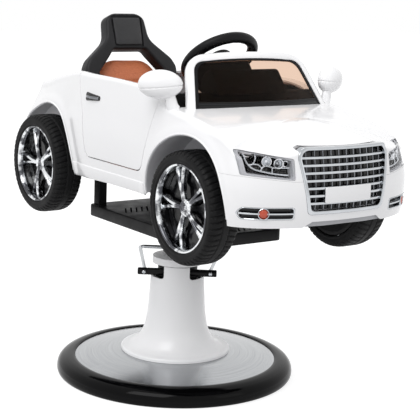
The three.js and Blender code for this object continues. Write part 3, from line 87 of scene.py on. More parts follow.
def make_object(name, points, faces):
    """A mesh object from points in millimetres, with its doubles merged."""
    mesh = bpy.data.meshes.new(name)
    flat = np.asarray(points, float).reshape(-1, 3) * MM
    mesh.from_pydata(flat.tolist(), [], faces if isinstance(faces, list) else faces.tolist())
    obj = bpy.data.objects.new(name, mesh)
    bpy.context.scene.collection.objects.link(obj)
    weld(obj)
    return obj


def grid_object(name, grid, wrap_rows=False, wrap_cols=False):
    """One surface from an array of points with shape (rows, columns, 3)."""
    rows, cols = grid.shape[:2]
    return make_object(name, grid, grid_faces(rows, cols, wrap_rows, wrap_cols))


def join_grids(name, grids):
    """Several (grid, wrap_rows, wrap_cols) surfaces in one object."""
    points, faces, count = [], [], 0
    for grid, wrap_rows, wrap_cols in grids:
        rows, cols = grid.shape[:2]
        points.append(grid.reshape(-1, 3))
        faces.append(grid_faces(rows, cols, wrap_rows, wrap_cols) + count)
        count += rows * cols
    return make_object(name, np.concatenate(points), np.concatenate(faces))


print("doubles closer than", WELD_MM, "mm are merged")

# %% [markdown]
# No real edge is quite sharp, and its small radius catches the light. A bevel rounds it,
# and smooth shading stops at angles that are meant to be seen. A finished piece is tied
# to the body that carries it, and the CAD nodes that it stands for are hidden.

# %% Finishing a piece
SMOOTH_DEG, ROLL_DEG = 32, 50


def modify(obj, kind, **settings):
    """Adds a modifier and sets what is named."""
    modifier = obj.modifiers.new(kind.lower(), kind)
    for key, value in settings.items():
        setattr(modifier, key, value)
    return modifier


def bake(obj):
    """Replaces the mesh by what its modifiers make of it."""
    graph = bpy.context.evaluated_depsgraph_get()
    made = bpy.data.meshes.new_from_object(obj.evaluated_get(graph))
    obj.modifiers.clear()
    obj.data = made
    return obj


def roll_edges(obj, radius, segments, limit_deg=ROLL_DEG, **settings):
    """Rounds the edges that turn by more than an angle."""
    modify(obj, "BEVEL", width=radius * MM, segments=segments, limit_method="ANGLE",
           angle_limit=math.radians(limit_deg), **settings)
    return bake(obj)


def shade(obj, material, angle):
    """Gives a piece its only material, and smooth shading up to an angle."""
    obj.data.materials.clear()
    obj.data.materials.append(material)
    obj.data.shade_smooth()
    obj.data.set_sharp_from_angle(angle=math.radians(angle))


def finish_piece(obj, body, slot, material, replaces=(), angle=SMOOTH_DEG):
    """Shades a piece, ties it to its body and hides its CAD nodes; slot is not used."""
    shade(obj, material, angle)
    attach(obj, body)
    if replaces:
        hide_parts(*replaces)
    return obj


def mirrored(points):
    """The same points on the other side of the plane x = 0."""
    return points * np.array([-1.0, 1.0, 1.0])


def smoothstep(low, high, value):
    """0 below low, 1 above high, and a smooth cubic between."""
    t = np.clip((value - low) / (high - low), 0, 1)
    return t * t * (3 - 2 * t)


SIDES = (("right", -1), ("left", 1))
print("smoothstep at a quarter of the way:", smoothstep(0, 1, 0.25))

# %% [markdown]
# Much of this chair is turned on a lathe: rings, rims, tubes. A lathe needs a profile,
# and a profile is a few corners, each with the radius that a maker would file on it.

# %% Profiles and turned solids
def revolve(profile, sides=128):
    """Turns [radius, height] pairs about Z: x = r cos a, y = r sin a, z = height."""
    r, z = np.asarray(profile, float).T
    a = np.linspace(0, 2 * np.pi, sides, endpoint=False)
    return np.stack([r[:, None] * np.cos(a), r[:, None] * np.sin(a),
                     np.broadcast_to(z[:, None], (len(r), sides))], -1)


def rounded_profile(corners, closed=True, steps=5):
    """Rounds a polyline of [u, v] or [u, v, radius] with quadratic curves at its corners."""
    pts = [np.array(c[:2], float) for c in corners]
    out, count = [], len(pts)
    for k, corner in enumerate(corners):
        radius = corner[2] if len(corner) > 2 else 0
        inner = closed or 0 < k < count - 1
        if not radius or not inner:
            out.append(pts[k])
            continue
        before, after = pts[k - 1] - pts[k], pts[(k + 1) % count] - pts[k]
        reach = min(radius, 0.49 * np.hypot(*before), 0.49 * np.hypot(*after))
        a = pts[k] + before / np.hypot(*before) * reach
        b = pts[k] + after / np.hypot(*after) * reach
        t = np.linspace(0, 1, steps + 1)[:, None]
        out.extend((1 - t) ** 2 * a + 2 * t * (1 - t) * pts[k] + t * t * b)
    return np.array(out)


def rounded_box(u0, v0, u1, v1, radius, steps=5):
    """A rectangle between two corners, with all four of its corners rounded."""
    return rounded_profile([(u0, v0, radius), (u1, v0, radius), (u1, v1, radius),
                            (u0, v1, radius)], steps=steps)


def bar_section(half_width, half_height, radius):
    """The rounded rectangle of a strip, centred on its path."""
    return rounded_box(-half_width, -half_height, half_width, half_height, radius)


def evenly(loop, count, endpoint=True):
    """A polyline's points spread evenly along its length."""
    run = np.concatenate([[0], np.cumsum(np.linalg.norm(np.diff(loop, axis=0), axis=1))])
    at = np.linspace(0, run[-1], count, endpoint=endpoint)
    return np.stack([np.interp(at, run, loop[:, c]) for c in range(loop.shape[1])], 1)


def outline_length(outline, count):
    """A closed outline with its points spread evenly."""
    return evenly(np.vstack([outline, outline[:1]]), count, endpoint=False)


print("a rounded box has", len(rounded_box(0, 0, 9, 9, 2)), "points")

# %% [markdown]
# Beads, bars and the lever's hoop are one section carried along a line. A curve object
# with a bevel could do it, but with arrays the section's size can change on the way.

# %% Swept strips and rods
def swept(path, section, up=(0, 0, 1), closed=False, scale=None):
    """Carries a section of [across, up] points along a path. At each point the section's
    axes are across = tangent x up and the up that is square to both."""
    path = np.asarray(path, float)
    ahead = np.roll(path, -1, 0) - np.roll(path, 1, 0)
    if not closed:
        ahead[0], ahead[-1] = path[1] - path[0], path[-1] - path[-2]
    ahead /= np.linalg.norm(ahead, axis=1)[:, None]
    up = np.broadcast_to(np.asarray(up, float), path.shape)
    across = np.cross(ahead, up)
    across /= np.linalg.norm(across, axis=1)[:, None]
    rise = np.cross(across, ahead)
    section = np.asarray(section, float)
    size = np.ones(len(path)) if scale is None else np.asarray(scale, float)
    return (path[:, None] + size[:, None, None]
            * (section[None, :, :1] * across[:, None] + section[None, :, 1:] * rise[:, None]))


def circle(radius, sides=16, squash=1.0):
    """Points of a circle, or of an ellipse whose second axis is squashed."""
    a = np.linspace(0, 2 * np.pi, sides, endpoint=False)
    return np.stack([radius * np.cos(a), radius * squash * np.sin(a)], 1)


def capped(grid):
    """Closes both open ends of a swept grid to their middle points."""
    first = np.broadcast_to(grid[0].mean(0), grid[0].shape)
    last = np.broadcast_to(grid[-1].mean(0), grid[-1].shape)
    return np.concatenate([first[None], grid, last[None]])


def spline(points, count):
    """A smooth curve through points: cubic Hermite with Catmull-Rom slopes, by arc length."""
    pts = np.asarray(points, float)
    slope = np.gradient(pts, axis=0)
    t = np.linspace(0, len(pts) - 1, 40 * len(pts))
    k = np.minimum(t.astype(int), len(pts) - 2)
    s = (t - k)[:, None]
    h00, h10 = 2 * s**3 - 3 * s**2 + 1, s**3 - 2 * s**2 + s
    h01, h11 = -2 * s**3 + 3 * s**2, s**3 - s**2
    fine = h00 * pts[k] + h10 * slope[k] + h01 * pts[k + 1] + h11 * slope[k + 1]
    return evenly(fine, count)


print("a swept rod's grid:", capped(swept([[0, 0, 0], [0, 9, 0]], circle(2))).shape)

# %% [markdown]
# ## Prisms and cuts
# Doors, arches and lamps are openings in one moulded skin. They are made as a moulder
# would trim them: the whole skin first, then a prism cuts each opening out of it.

# %% Prisms
AXES = {"x": (1, 2, 0), "y": (0, 2, 1), "z": (0, 1, 2)}


def prism(name, outline, low, high, axis):
    """A flat outline carried along an axis: its [u, v] are the two other axes in order."""
    u, v, w = AXES[axis]
    outline = np.asarray(outline, float)
    count = len(outline)
    points = np.zeros((2, count, 3))
    points[:, :, u], points[:, :, v] = outline[:, 0], outline[:, 1]
    points[0, :, w], points[1, :, w] = low, high
    sides = grid_faces(2, count, wrap_cols=True)
    faces = sides.tolist() + [list(range(count)), list(range(count, 2 * count))]
    return make_object(name, points, faces)


def cut(obj, cutters, how="DIFFERENCE"):
    """Cuts with each solid in turn, and removes the cutters."""
    for cutter in cutters:
        modify(obj, "BOOLEAN", object=cutter, operation=how, solver="EXACT")
        bake(obj)
        bpy.data.objects.remove(cutter)
    return obj


def copy_of(obj, name):
    """The same mesh again, as an object of its own."""
    twin = bpy.data.objects.new(name, obj.data.copy())
    bpy.context.scene.collection.objects.link(twin)
    return twin


print("prism axes:", ", ".join(AXES))

# %% [markdown]
# ## Camera, floor and light
# The camera stands where the photograph was taken from: in front of the chair's right
# side, a little above the seat. It's a long lens, so the car shows little perspective.

# %% Camera
VIEW_AZIMUTH, VIEW_ELEVATION = math.radians(-35.7306), math.radians(10.9624)
VIEW_DISTANCE, VIEW_HEIGHT, VIEW_SIDEWAYS = 3.125508, 0.41833, 0.0761236
VIEW_ROLL = math.radians(2.13317)
FRAME_PX, FOCAL_PX, SENSOR_MM = 420, 1247.745, 36.0

back = Vector((math.sin(VIEW_AZIMUTH) * math.cos(VIEW_ELEVATION),
               -math.cos(VIEW_AZIMUTH) * math.cos(VIEW_ELEVATION), math.sin(VIEW_ELEVATION)))
right = Vector((math.cos(VIEW_AZIMUTH), math.sin(VIEW_AZIMUTH), 0))
upward = back.cross(right)
place = Vector((0, 0, VIEW_HEIGHT)) + right * VIEW_SIDEWAYS + back * VIEW_DISTANCE
rolled_right = right * math.cos(VIEW_ROLL) + upward * math.sin(VIEW_ROLL)
rolled_up = upward * math.cos(VIEW_ROLL) - right * math.sin(VIEW_ROLL)

lens = bpy.data.cameras.new("photo_camera")
lens.sensor_width = SENSOR_MM
lens.lens = FOCAL_PX * SENSOR_MM / FRAME_PX
camera = bpy.data.objects.new("photo_camera", lens)
bpy.context.scene.collection.objects.link(camera)
camera.matrix_world = Matrix.Translation(place) @ Matrix(
    (rolled_right, rolled_up, back)).transposed().to_4x4()
bpy.context.scene.camera = camera
bpy.context.scene.view_settings.view_transform = "Standard"
print("camera", [round(v, 3) for v in place], "lens", round(lens.lens, 2), "mm")


# %% [markdown]
# ## Colours and nodes
# Colours are written as they look on a screen, and one function turns them linear, as
# the shader wants them. One more function adds a node with its settings and its links,
# those that it takes and those that it gives.

# %% Node helpers
def linear(code):
    """sRGB hex text to linear RGBA: v / 12.92 below 0.04045, else ((v + 0.055) / 1.055)^2.4."""
    value = np.array([int(code[k:k + 2], 16) / 255 for k in (1, 3, 5)])
    bent = np.where(value <= 0.04045, value / 12.92, ((value + 0.055) / 1.055) ** 2.4)
    return (*map(float, bent), 1.0)


def add(tree, kind, inputs=None, feeds=None, **settings):
    """Adds a node. Inputs that are sockets are linked, and other inputs are values. feeds
    says which of its outputs go on to which sockets."""
    made = tree.nodes.new(kind)
    for key, value in settings.items():
        setattr(made, key, value)
    for key, value in (inputs or {}).items():
        if isinstance(value, bpy.types.NodeSocket):
            tree.links.new(value, made.inputs[key])
        else:
            made.inputs[key].default_value = value
    for key, socket in (feeds or {}).items():
        tree.links.new(made.outputs[key], socket)
    return made


print("mid grey is linear", round(linear("#808080")[0], 3))

# %% [markdown]
# The floor and the backdrop are white to the camera, and to what metal and glass mirror.
# The floor adds that white to a plain diffuse surface, so the chair's shadow stays on it.

# %% Floor and world
FLOOR_HALF_M, FLOOR_DROP_MM = 14, -0.5
FLOOR_GREY = "#b9b9ba"
FLOOR_LIFT = 0.75
WORLD_LIGHT = 0.82


def seen_rays(tree):
    """1 for camera, glossy and transmission rays, and 0 for the rays that carry light."""
    path = add(tree, "ShaderNodeLightPath")
    either = add(tree, "ShaderNodeMath", {0: path.outputs["Is Camera Ray"],
                                          1: path.outputs["Is Glossy Ray"]}, operation="MAXIMUM")
    return add(tree, "ShaderNodeMath", {0: either.outputs[0],
                                        1: path.outputs["Is Transmission Ray"]},
               operation="MAXIMUM").outputs[0]


floor_material = bpy.data.materials.new("studio_floor")
floor_material.use_nodes = True
tree = floor_material.node_tree
tree.nodes.clear()
lifted = add(tree, "ShaderNodeMath", {0: seen_rays(tree), 1: FLOOR_LIFT}, operation="MULTIPLY")
paper = add(tree, "ShaderNodeBsdfDiffuse", {"Color": linear(FLOOR_GREY)})
glow = add(tree, "ShaderNodeEmission", {"Strength": lifted.outputs[0]})
both = add(tree, "ShaderNodeAddShader", {0: paper.outputs[0], 1: glow.outputs[0]})
add(tree, "ShaderNodeOutputMaterial", {"Surface": both.outputs[0]})

reach = np.array([-1, 1]) * FLOOR_HALF_M / MM
spread = np.stack([*np.meshgrid(reach, reach), np.full((2, 2), FLOOR_DROP_MM)], -1)
floor = grid_object("studio_floor", spread)
floor.data.materials.append(floor_material)

world = bpy.data.worlds.new("studio")
bpy.context.scene.world = world
world.use_nodes = True
tree = world.node_tree
tree.nodes.clear()
level = add(tree, "ShaderNodeMapRange", {"Value": seen_rays(tree), "To Min": WORLD_LIGHT,
                                         "To Max": 1.0})
sky = add(tree, "ShaderNodeBackground", {"Color": linear("#ffffff"),
                                         "Strength": level.outputs[0]})
add(tree, "ShaderNodeOutputWorld", {"Surface": sky.outputs[0]})
print("floor and world ready")

# %% [markdown]
# Large soft boxes light the chair, so its shadows have no hard edge. A bare point lamp
# would draw one. A wide box stands above the car's right side, and a weak one fills the
# front.

# %% Soft boxes
AIM = Vector((0, -0.05, 0.5))
LAMPS = {
    "key_softbox": ((-2.4, -1.2, 3.7), 2.6, 74),
    "front_softbox": ((1.6, -4.2, 2.0), 2.2, 8),
}
for name, (spot, size, watts) in LAMPS.items():
    lamp = bpy.data.lights.new(name, "AREA")
    lamp.size, lamp.energy = size, watts
    holder = bpy.data.objects.new(name, lamp)
    bpy.context.scene.collection.objects.link(holder)
    turn = (AIM - Vector(spot)).to_track_quat("-Z", "Y").to_matrix().to_4x4()
    holder.matrix_world = Matrix.Translation(spot) @ turn
    print(name, watts, "W")


# %% [markdown]
# ## Materials
# Every finish starts from what the real one is and how its surface was made. Each could
# be one flat colour, but moulding and handling leave their marks, and without them the
# eye takes a surface for a drawing. So gloss, tint and height all follow patterns, and
# the size of every pattern is a real one in mm.

# %% Material helpers
def start_material(name, color, roughness, **sockets):
    """A Principled material with its plain values, and its tree, shader and coordinates."""
    material = bpy.data.materials.new(name)
    material.use_nodes = True
    tree = material.node_tree
    shader = tree.nodes["Principled BSDF"]
    shader.inputs["Base Color"].default_value = linear(color)
    shader.inputs["Roughness"].default_value = roughness
    for key, value in sockets.items():
        shader.inputs[key.replace("_", " ")].default_value = value
    return material, tree, shader, add(tree, "ShaderNodeTexCoord").outputs["Object"]


def scale_of(size_mm):
    """The scale that makes a pattern's cells size_mm across."""
    return 1 / (size_mm * MM)


def dress(tree, shader, where, gloss, height, tint=None):
    """Lets roughness, colour and height follow patterns. Each is given as a pattern and
    what it moves between, or how deep in mm. A pattern is a socket, or the size in mm of
    a noise's blotches, which is finer for the tint."""
    def pattern(source, detail=2.0):
        if isinstance(source, bpy.types.NodeSocket):
            return source
        return add(tree, "ShaderNodeTexNoise", {"Vector": where, "Scale": scale_of(source),
                                                "Detail": detail}).outputs[0]

    source, low, high = gloss
    add(tree, "ShaderNodeMapRange", {"Value": pattern(source), "From Min": 0.3, "From Max": 0.7,
                                     "To Min": low, "To Max": high},
        {0: shader.inputs["Roughness"]})
    source, depth_mm = height
    add(tree, "ShaderNodeBump", {"Height": pattern(source), "Distance": depth_mm * MM,
                                 "Strength": 1.0}, {0: shader.inputs["Normal"]})
    if tint:
        source, first, second = tint
        add(tree, "ShaderNodeMix", {0: pattern(source, 4.0), 6: linear(first),
                                    7: linear(second)},
            {2: shader.inputs["Base Color"]}, data_type="RGBA")


print("a pattern of 3 mm has the scale", round(scale_of(3)))

# %% [markdown]
# The body is blow-moulded white plastic with a gloss lacquer. The eye reads it by the
# soft lights on its curves, so it needs a clear coat, a faint orange peel about 3 mm
# across, and a gloss that drifts a little from panel to panel. The column's cover is
# powder-coated steel: the same white, but satin, with hardly any clear layer.

# %% White finishes
def gloss_white(name, color, second, low, high, coat):
    """White lacquer: a faint tint drift, orange peel, and a clear coat."""
    material, *parts = start_material(name, color, low, Coat_Weight=coat, Coat_Roughness=0.06)
    dress(*parts, (60, low, high), (3, 0.03), (180, color, second))
    return material


white_paint = gloss_white("gloss_white_lacquer", "#f6f6f7", "#f1f1f3", 0.16, 0.26, 0.5)
moulded_white = gloss_white("powder_coated_white_steel", "#f5f5f6", "#f0f0f2", 0.28, 0.38, 0.15)
print("whites:", white_paint.name, moulded_white.name)

# %% [markdown]
# Black and grey parts are moulded too. Their mould was spark-eroded, and it leaves a
# pebble grain of about 1 mm, which breaks up the highlight. Tyres and the floor ring are
# rubber. One function makes them all, because only grain, gloss and shade differ.

# %% Moulded plastics and rubbers
def grained(name, color, second, low, high, grain_mm, depth_mm, specular=0.25):
    """A moulding with a fine pebble grain and a slow drift of gloss and shade."""
    material, tree, shader, where = start_material(name, color, low, Specular_IOR_Level=specular)
    pebble = add(tree, "ShaderNodeTexVoronoi", {"Vector": where, "Scale": scale_of(grain_mm)},
                 feature="SMOOTH_F1").outputs["Distance"]
    dress(tree, shader, where, (45, low, high), (pebble, depth_mm), (25, color, second))
    return material


# ABS from a spark-eroded mould: satin, and small lights scatter in its pebbles
black_abs = grained("grained_black_abs", "#0b0b0c", "#111113", 0.36, 0.5, 1.1, 0.12, 0.16)
# ABS with a soft-touch lacquer: greyer, and its highlights are broad and dim
soft_charcoal = grained("soft_touch_charcoal", "#151517", "#1d1d20", 0.46, 0.58, 1.4, 0.15, 0.3)
# Cured rubber with carbon black: dull, and a shade greyer where it's handled
tyre_rubber = grained("tyre_rubber", "#0c0c0d", "#131314", 0.5, 0.66, 0.9, 0.1, 0.16)
# The same rubber dressed with silicone: nearly black, with long wet lights
ring_rubber = grained("dressed_floor_rubber", "#030304", "#060607", 0.08, 0.13, 2.5, 0.03, 0.1)
# ABS from a polished mould: a black that mirrors faintly
gloss_black = grained("gloss_black_moulding", "#08080a", "#0d0d0f", 0.1, 0.18, 4.0, 0.02, 0.3)
# ABS lacquered matt, as under a windscreen, where nothing may mirror in the pane
hood_black = grained("matt_hood_black", "#060607", "#0a0a0b", 0.72, 0.84, 1.4, 0.12, 0.08)
# Rotation-moulded polythene: waxy and pale. The second copy is painted darker, as
# painted shade, for the front wells and the cabin floor, where less light gets in
liner_grey = grained("grey_polythene_liner", "#e9e9eb", "#dfdfe2", 0.5, 0.65, 2.2, 0.2)
painted_shade_liner = grained("polythene_liner_painted_shade", "#cdcdd0", "#c2c2c6", 0.5, 0.65, 2.2, 0.2)
# Frosted polycarbonate: the pale edge inside a lamp, which takes light but shows nothing
lamp_edge_grey = grained("frosted_lamp_edge", "#b9babd", "#aeafb3", 0.3, 0.4, 3.0, 0.03)
print("moulded finishes so far:", len(bpy.data.materials))

# %% [markdown]
# Chromed plastic and chromed steel mirror the room, with a few hazy patches where they
# have been wiped. The rims' plate has painted reflection too: grey and bright patches in
# its colour. A flat mirror would look like glass, so each has a breath of ripple.

# %% Plated metals
def bright_metal(name, color, second, low, high, blotch_mm):
    """Plated metal: mirror gloss that hazes in patches, and a breath of ripple."""
    material, *parts = start_material(name, color, low, Metallic=1.0)
    dress(*parts, (blotch_mm, low, high), (9, 0.02), (blotch_mm, color, second))
    return material


def painted_reflection_plate(name, dark, bright, blotch_mm):
    """Vacuum-plated plastic with painted reflection: noise near its middle value is
    stretched to a sharp change from a dark colour to a bright one, as patches of reflected
    ground."""
    material, tree, shader, where = start_material(name, bright, 0.12, Metallic=1.0)
    blotch = add(tree, "ShaderNodeTexNoise", {"Vector": where, "Scale": scale_of(blotch_mm),
                                              "Detail": 3.0})
    reflection_patch = add(tree, "ShaderNodeMapRange", {"Value": blotch.outputs[0], "From Min": 0.42,
                                             "From Max": 0.58}, interpolation_type="SMOOTHSTEP")
    dress(tree, shader, where, (blotch_mm, 0.08, 0.24), (7, 0.03),
          (reflection_patch.outputs[0], dark, bright))
    return material


# Bright nickel and chrome: a cool, clear mirror
chrome = bright_metal("chrome_plate", "#c6c9cc", "#aeb1b5", 0.07, 0.17, 22)
# Chrome at half the brightness: a dark trim on handles, horn and vents, and painted shade on the
# grille's posts, so they sit back behind the bars
dark_chrome = bright_metal("dark_chrome_and_painted_shade", "#6c6e72", "#8a8c90", 0.12, 0.24, 14)
# Glass silvered on its back: the clearest mirror on the chair
mirror_glass = bright_metal("silvered_glass", "#d5d8da", "#d0d3d6", 0.03, 0.05, 80)
# Chromed ABS of the rims and lamp bowls: bright, with painted reflection, grey patches in its
# colour that stand for reflected ground
painted_reflection_chrome = painted_reflection_plate("rim_chrome_plate", "#55565a", "#e6e8ea", 26)
print("plated finishes:", chrome.name, dark_chrome.name, mirror_glass.name, painted_reflection_chrome.name)

# %% [markdown]
# The base's dome is stainless steel that was held on a lathe and brushed with grit cloth,
# so its scratches are rings about the axle. Real ones are 0.1 mm apart, which no render
# of this size can show, so they are drawn 0.7 mm wide. Machined steel is coarser.

# %% Turned steel
def turned_steel(name, color, second, low, high, line_mm, depth_mm, squash):
    """Steel brushed in rings about the Z axis: noise over (radius, height) with the
    angle squeezed, so each scratch is a long arc. The colour follows the brushing: grain, and
    where the angle is squeezed hard, as on the dome, a few wide patches round the axle
    that are painted reflection."""
    material, tree, shader, where = start_material(name, color, low, Metallic=1.0)
    x, y, z = add(tree, "ShaderNodeSeparateXYZ", {0: where}).outputs
    flat = add(tree, "ShaderNodeCombineXYZ", {0: x, 1: y})
    radius = add(tree, "ShaderNodeVectorMath", {0: flat.outputs[0]}, operation="LENGTH")
    angle = add(tree, "ShaderNodeMath", {0: y, 1: x}, operation="ARCTAN2")
    drawn = add(tree, "ShaderNodeMath", {0: angle.outputs[0], 1: squash}, operation="MULTIPLY")
    ring = add(tree, "ShaderNodeCombineXYZ", {0: radius.outputs["Value"], 1: drawn.outputs[0],
                                              2: z})
    lines = add(tree, "ShaderNodeTexNoise", {"Vector": ring.outputs[0], "Roughness": 0.7,
                                             "Scale": scale_of(line_mm), "Detail": 5.0})
    grain_and_painted_fan = add(tree, "ShaderNodeMapRange", {"Value": lines.outputs[0], "From Min": 0.32,
                                              "From Max": 0.68})
    dress(tree, shader, where, (lines.outputs[0], low, high), (lines.outputs[0], depth_mm),
          (grain_and_painted_fan.outputs[0], color, second))
    return material


# On the dome the colour changes in a few wide patches round the axle: painted reflection of the
# brushing's fan of light, over the grain
brushed_steel = turned_steel("brushed_stainless_steel", "#a0a2a5", "#c6c8ca", 0.16, 0.26,
                             0.7, 0.015, 0.0006)
machined_steel = turned_steel("machined_steel", "#7f8286", "#94979b", 0.3, 0.5, 0.9, 0.04, 0.01)
print("steels:", brushed_steel.name, machined_steel.name)

# %% [markdown]
# The seat is stitched from tan leatherette: vinyl embossed with a hide grain of cells
# about 2 mm wide, with creases across it. Its colour is painted darker in the grain's
# valleys, as painted shade. A little sheen gives the soft edge that the vinyl's cloth back
# lends it.

# %% Leatherette
HIDE_CELL_MM, HIDE_BEND_MM, HIDE_WARP_MM, CREASE_MM, HIDE_DEPTH_MM = 2.0833, 6, 1.2, 14, 0.22


def hide(name, color, valley, low, high):
    """Embossed hide: cells with thin valleys in painted shade, wrinkles, and a soft sheen."""
    material, tree, shader, where = start_material(name, color, low, Sheen_Weight=0.12,
                                                   Sheen_Roughness=0.4)
    bend = add(tree, "ShaderNodeTexNoise", {"Vector": where, "Scale": scale_of(HIDE_BEND_MM),
                                            "Detail": 3.0})
    warped = add(tree, "ShaderNodeVectorMath", {0: bend.outputs["Color"], 2: where,
                                                1: (HIDE_WARP_MM * MM,) * 3},
                 operation="MULTIPLY_ADD")
    cells = add(tree, "ShaderNodeTexVoronoi", {"Vector": warped.outputs[0],
                                               "Scale": scale_of(HIDE_CELL_MM)},
                feature="DISTANCE_TO_EDGE")
    ridge = add(tree, "ShaderNodeMapRange", {"Value": cells.outputs["Distance"],
                                             "From Max": 0.22}, interpolation_type="SMOOTHSTEP")
    creases = add(tree, "ShaderNodeTexNoise", {"Vector": where, "Scale": scale_of(CREASE_MM),
                                               "Detail": 4.0})
    height = add(tree, "ShaderNodeMath", {0: ridge.outputs[0], 1: 0.6, 2: creases.outputs[0]},
                 operation="MULTIPLY_ADD")
    # the grain's valleys take the darker colour: painted shade
    dress(tree, shader, where, (35, low, high), (height.outputs[0], HIDE_DEPTH_MM),
          (ridge.outputs[0], valley, color))
    return material


tan_leather = hide("tan_leatherette", "#da8256", "#b9633d", 0.4, 0.54)
black_hide = hide("black_leatherette", "#242427", "#131315", 0.4, 0.55)
print("hides:", tan_leather.name, black_hide.name)

# %% [markdown]
# Lamp covers and the windscreen are clear sheets formed over a mould. The covers and the
# pane are thin, and a thin sheet bends no ray that passes it, so their IOR is held close
# to that of air. The coloured lenses are thick and keep their plastic's own 1.58.

# %% Lenses and pane
def lens_plastic(name, color, roughness, transmission, ior=1.58, specular=0.5):
    """Clear or coloured polycarbonate, with a faint wave from the mould."""
    material, *parts = start_material(name, color, roughness, IOR=ior,
                                      Transmission_Weight=transmission,
                                      Specular_IOR_Level=specular)
    dress(*parts, (30, roughness, roughness + 0.05), (12, 0.03))
    return material


THIN_SHEET_IOR = 1.12
clear_lens = lens_plastic("clear_polycarbonate", "#fbfbfc", 0.03, 1.0, THIN_SHEET_IOR, 0.3)
amber_lens = lens_plastic("amber_polycarbonate", "#d8502c", 0.12, 0.25)
red_lens = lens_plastic("red_polycarbonate", "#a3161b", 0.12, 0.3)
tinted_pane = lens_plastic("bronze_tinted_acrylic", "#dfc2ad", 0.03, 1.0, THIN_SHEET_IOR, 0.15)
print("materials:", len(bpy.data.materials))

# %% [markdown]
# ## The body's surface
# A car's body could be pulled out of a box, but its long lights only run clean on a
# smooth function. So the body is one function of two parameters. The station runs round
# half the car, from the nose (0) along the flank (1 to 2) to the tail (3). The other one
# climbs a rib: up the side, over a rounded shoulder, and in to the centre line.

# %% Tables of the body
FLANK_START, FLANK_END = -515.0, 388.0
NOSE_LENGTH, TAIL_LENGTH, TAIL_POWER = 112.0, 85.2, 2 / 3
FRONT_HALF, REAR_HALF, WAIST_FROM, WAIST_TO = 243.0, 217.0, 40.0, 250.0
SPINE_FRONT, SPINE_REAR, SPINE_SOFT = -440.0, 372.0, 30.0
AXLE_Y, AXLE_Z = {"front": -364.0, "rear": 302.0}, 504.0
ARCH_RADIUS, LIP_RISE = {"front": 160.0, "rear": 157.0}, {"front": 2.5, "rear": 3.5}
LIP_NEAR, LIP_FAR = 8.0, 26.0


def at_y(y):
    """Station of a point of the flank."""
    return 1 + (y - FLANK_START) / (FLANK_END - FLANK_START)


EDGE_HEIGHT = [(0, 662), (0.28, 658), (0.42, 648), (0.85, 646), (1, 659), (at_y(-477), 676),
               (at_y(-409), 691), (at_y(-338), 704), (at_y(-273), 712), (at_y(-222), 733),
               (at_y(-200), 743), (at_y(-150), 751), (at_y(0), 755), (at_y(130), 755),
               (at_y(230), 743), (at_y(300), 731), (2, 714), (2.4, 706), (3, 706)]
FOOT_HEIGHT = [(0, 498), (0.3, 496), (1, 496), (at_y(-410), 497), (at_y(-200), 509),
               (at_y(60), 512), (at_y(160), 508), (2, 502), (3, 506)]
WAIST_HEIGHT = [(0, 560), (1, 575), (at_y(-200), 620), (at_y(60), 620), (2, 575), (3, 575)]
SHOULDER_DRAW = [(0, 12), (1, 12), (at_y(-200), 10), (at_y(120), 12), (at_y(300), 26),
                 (2, 38), (3, 38)]
SHOULDER_ROUND = [(0, 10), (1, 12), (at_y(-409), 18), (at_y(-200), 9), (at_y(120), 12),
                  (2, 24), (3, 24)]
FOOT_DRAW = [(0, 6), (1, 6), (at_y(-200), 12), (at_y(60), 12), (2, 6), (3, 6)]
CENTRE_HEIGHT = [(-480, 693), (SPINE_FRONT, 699), (-316, 715), (-200, 722), (282, 741),
                 (335, 733), (SPINE_REAR, 724)]


def along(pairs, t):
    """Hermite curve through pairs, flat at its ends and wherever it turns back. Inside,
    a point's slope is the harmonic mean of the slopes on its two sides."""
    u, v = np.asarray(pairs, float).T
    rise = np.diff(v) / np.diff(u)
    before, after = rise[:-1], rise[1:]
    same = before * after > 0
    mean = np.where(same, 2 * before * after / np.where(same, before + after, 1), 0)
    slope = np.concatenate([[0], mean, [0]])
    t = np.clip(t, u[0], u[-1])
    k = np.clip(np.searchsorted(u, t, side="right") - 1, 0, len(u) - 2)
    width = u[k + 1] - u[k]
    s = (t - u[k]) / width
    return (v[k] + (v[k + 1] - v[k]) * s * s * (3 - 2 * s)
            + slope[k] * width * s * (1 - s) ** 2 + slope[k + 1] * width * s * s * (s - 1))


print("shoulder height half way along:", along(EDGE_HEIGHT, np.array([1.5])).round(1))

# %% [markdown]
# Seen from above, the nose is half an ellipse, the flank is nearly straight, and the tail
# is squarer than an ellipse. The side's depth inside that plan depends on the height, and
# round each wheel the sheet flares outwards into a lip, as it does on the real body.

# %% Plan and side
def plan_points(station):
    """Plan of the waist: half a nose ellipse, a flank, and half a squared-off tail."""
    turn = np.clip(station, 0, 1) * np.pi / 2
    y_flank = FLANK_START + (np.clip(station, 1, 2) - 1) * (FLANK_END - FLANK_START)
    tail = (3 - np.clip(station, 2, 3)) * np.pi / 2
    x = np.where(station <= 1, FRONT_HALF * np.sin(turn),
                 FRONT_HALF + (REAR_HALF - FRONT_HALF) * smoothstep(WAIST_FROM, WAIST_TO, y_flank))
    y = np.where(station <= 1, FLANK_START - NOSE_LENGTH * np.cos(turn), y_flank)
    x = np.where(station > 2, REAR_HALF * np.abs(np.sin(tail)) ** TAIL_POWER, x)
    y = np.where(station > 2, FLANK_END + TAIL_LENGTH * np.abs(np.cos(tail)) ** TAIL_POWER, y)
    return x, y


def plan_normals(station, step=0.004):
    """Outward unit normals of the plan, from the points on either side."""
    x0, y0 = plan_points(np.maximum(station - step, 0))
    x1, y1 = plan_points(np.minimum(station + step, 3))
    size = np.hypot(x1 - x0, y1 - y0)
    return (y1 - y0) / size, (x0 - x1) / size


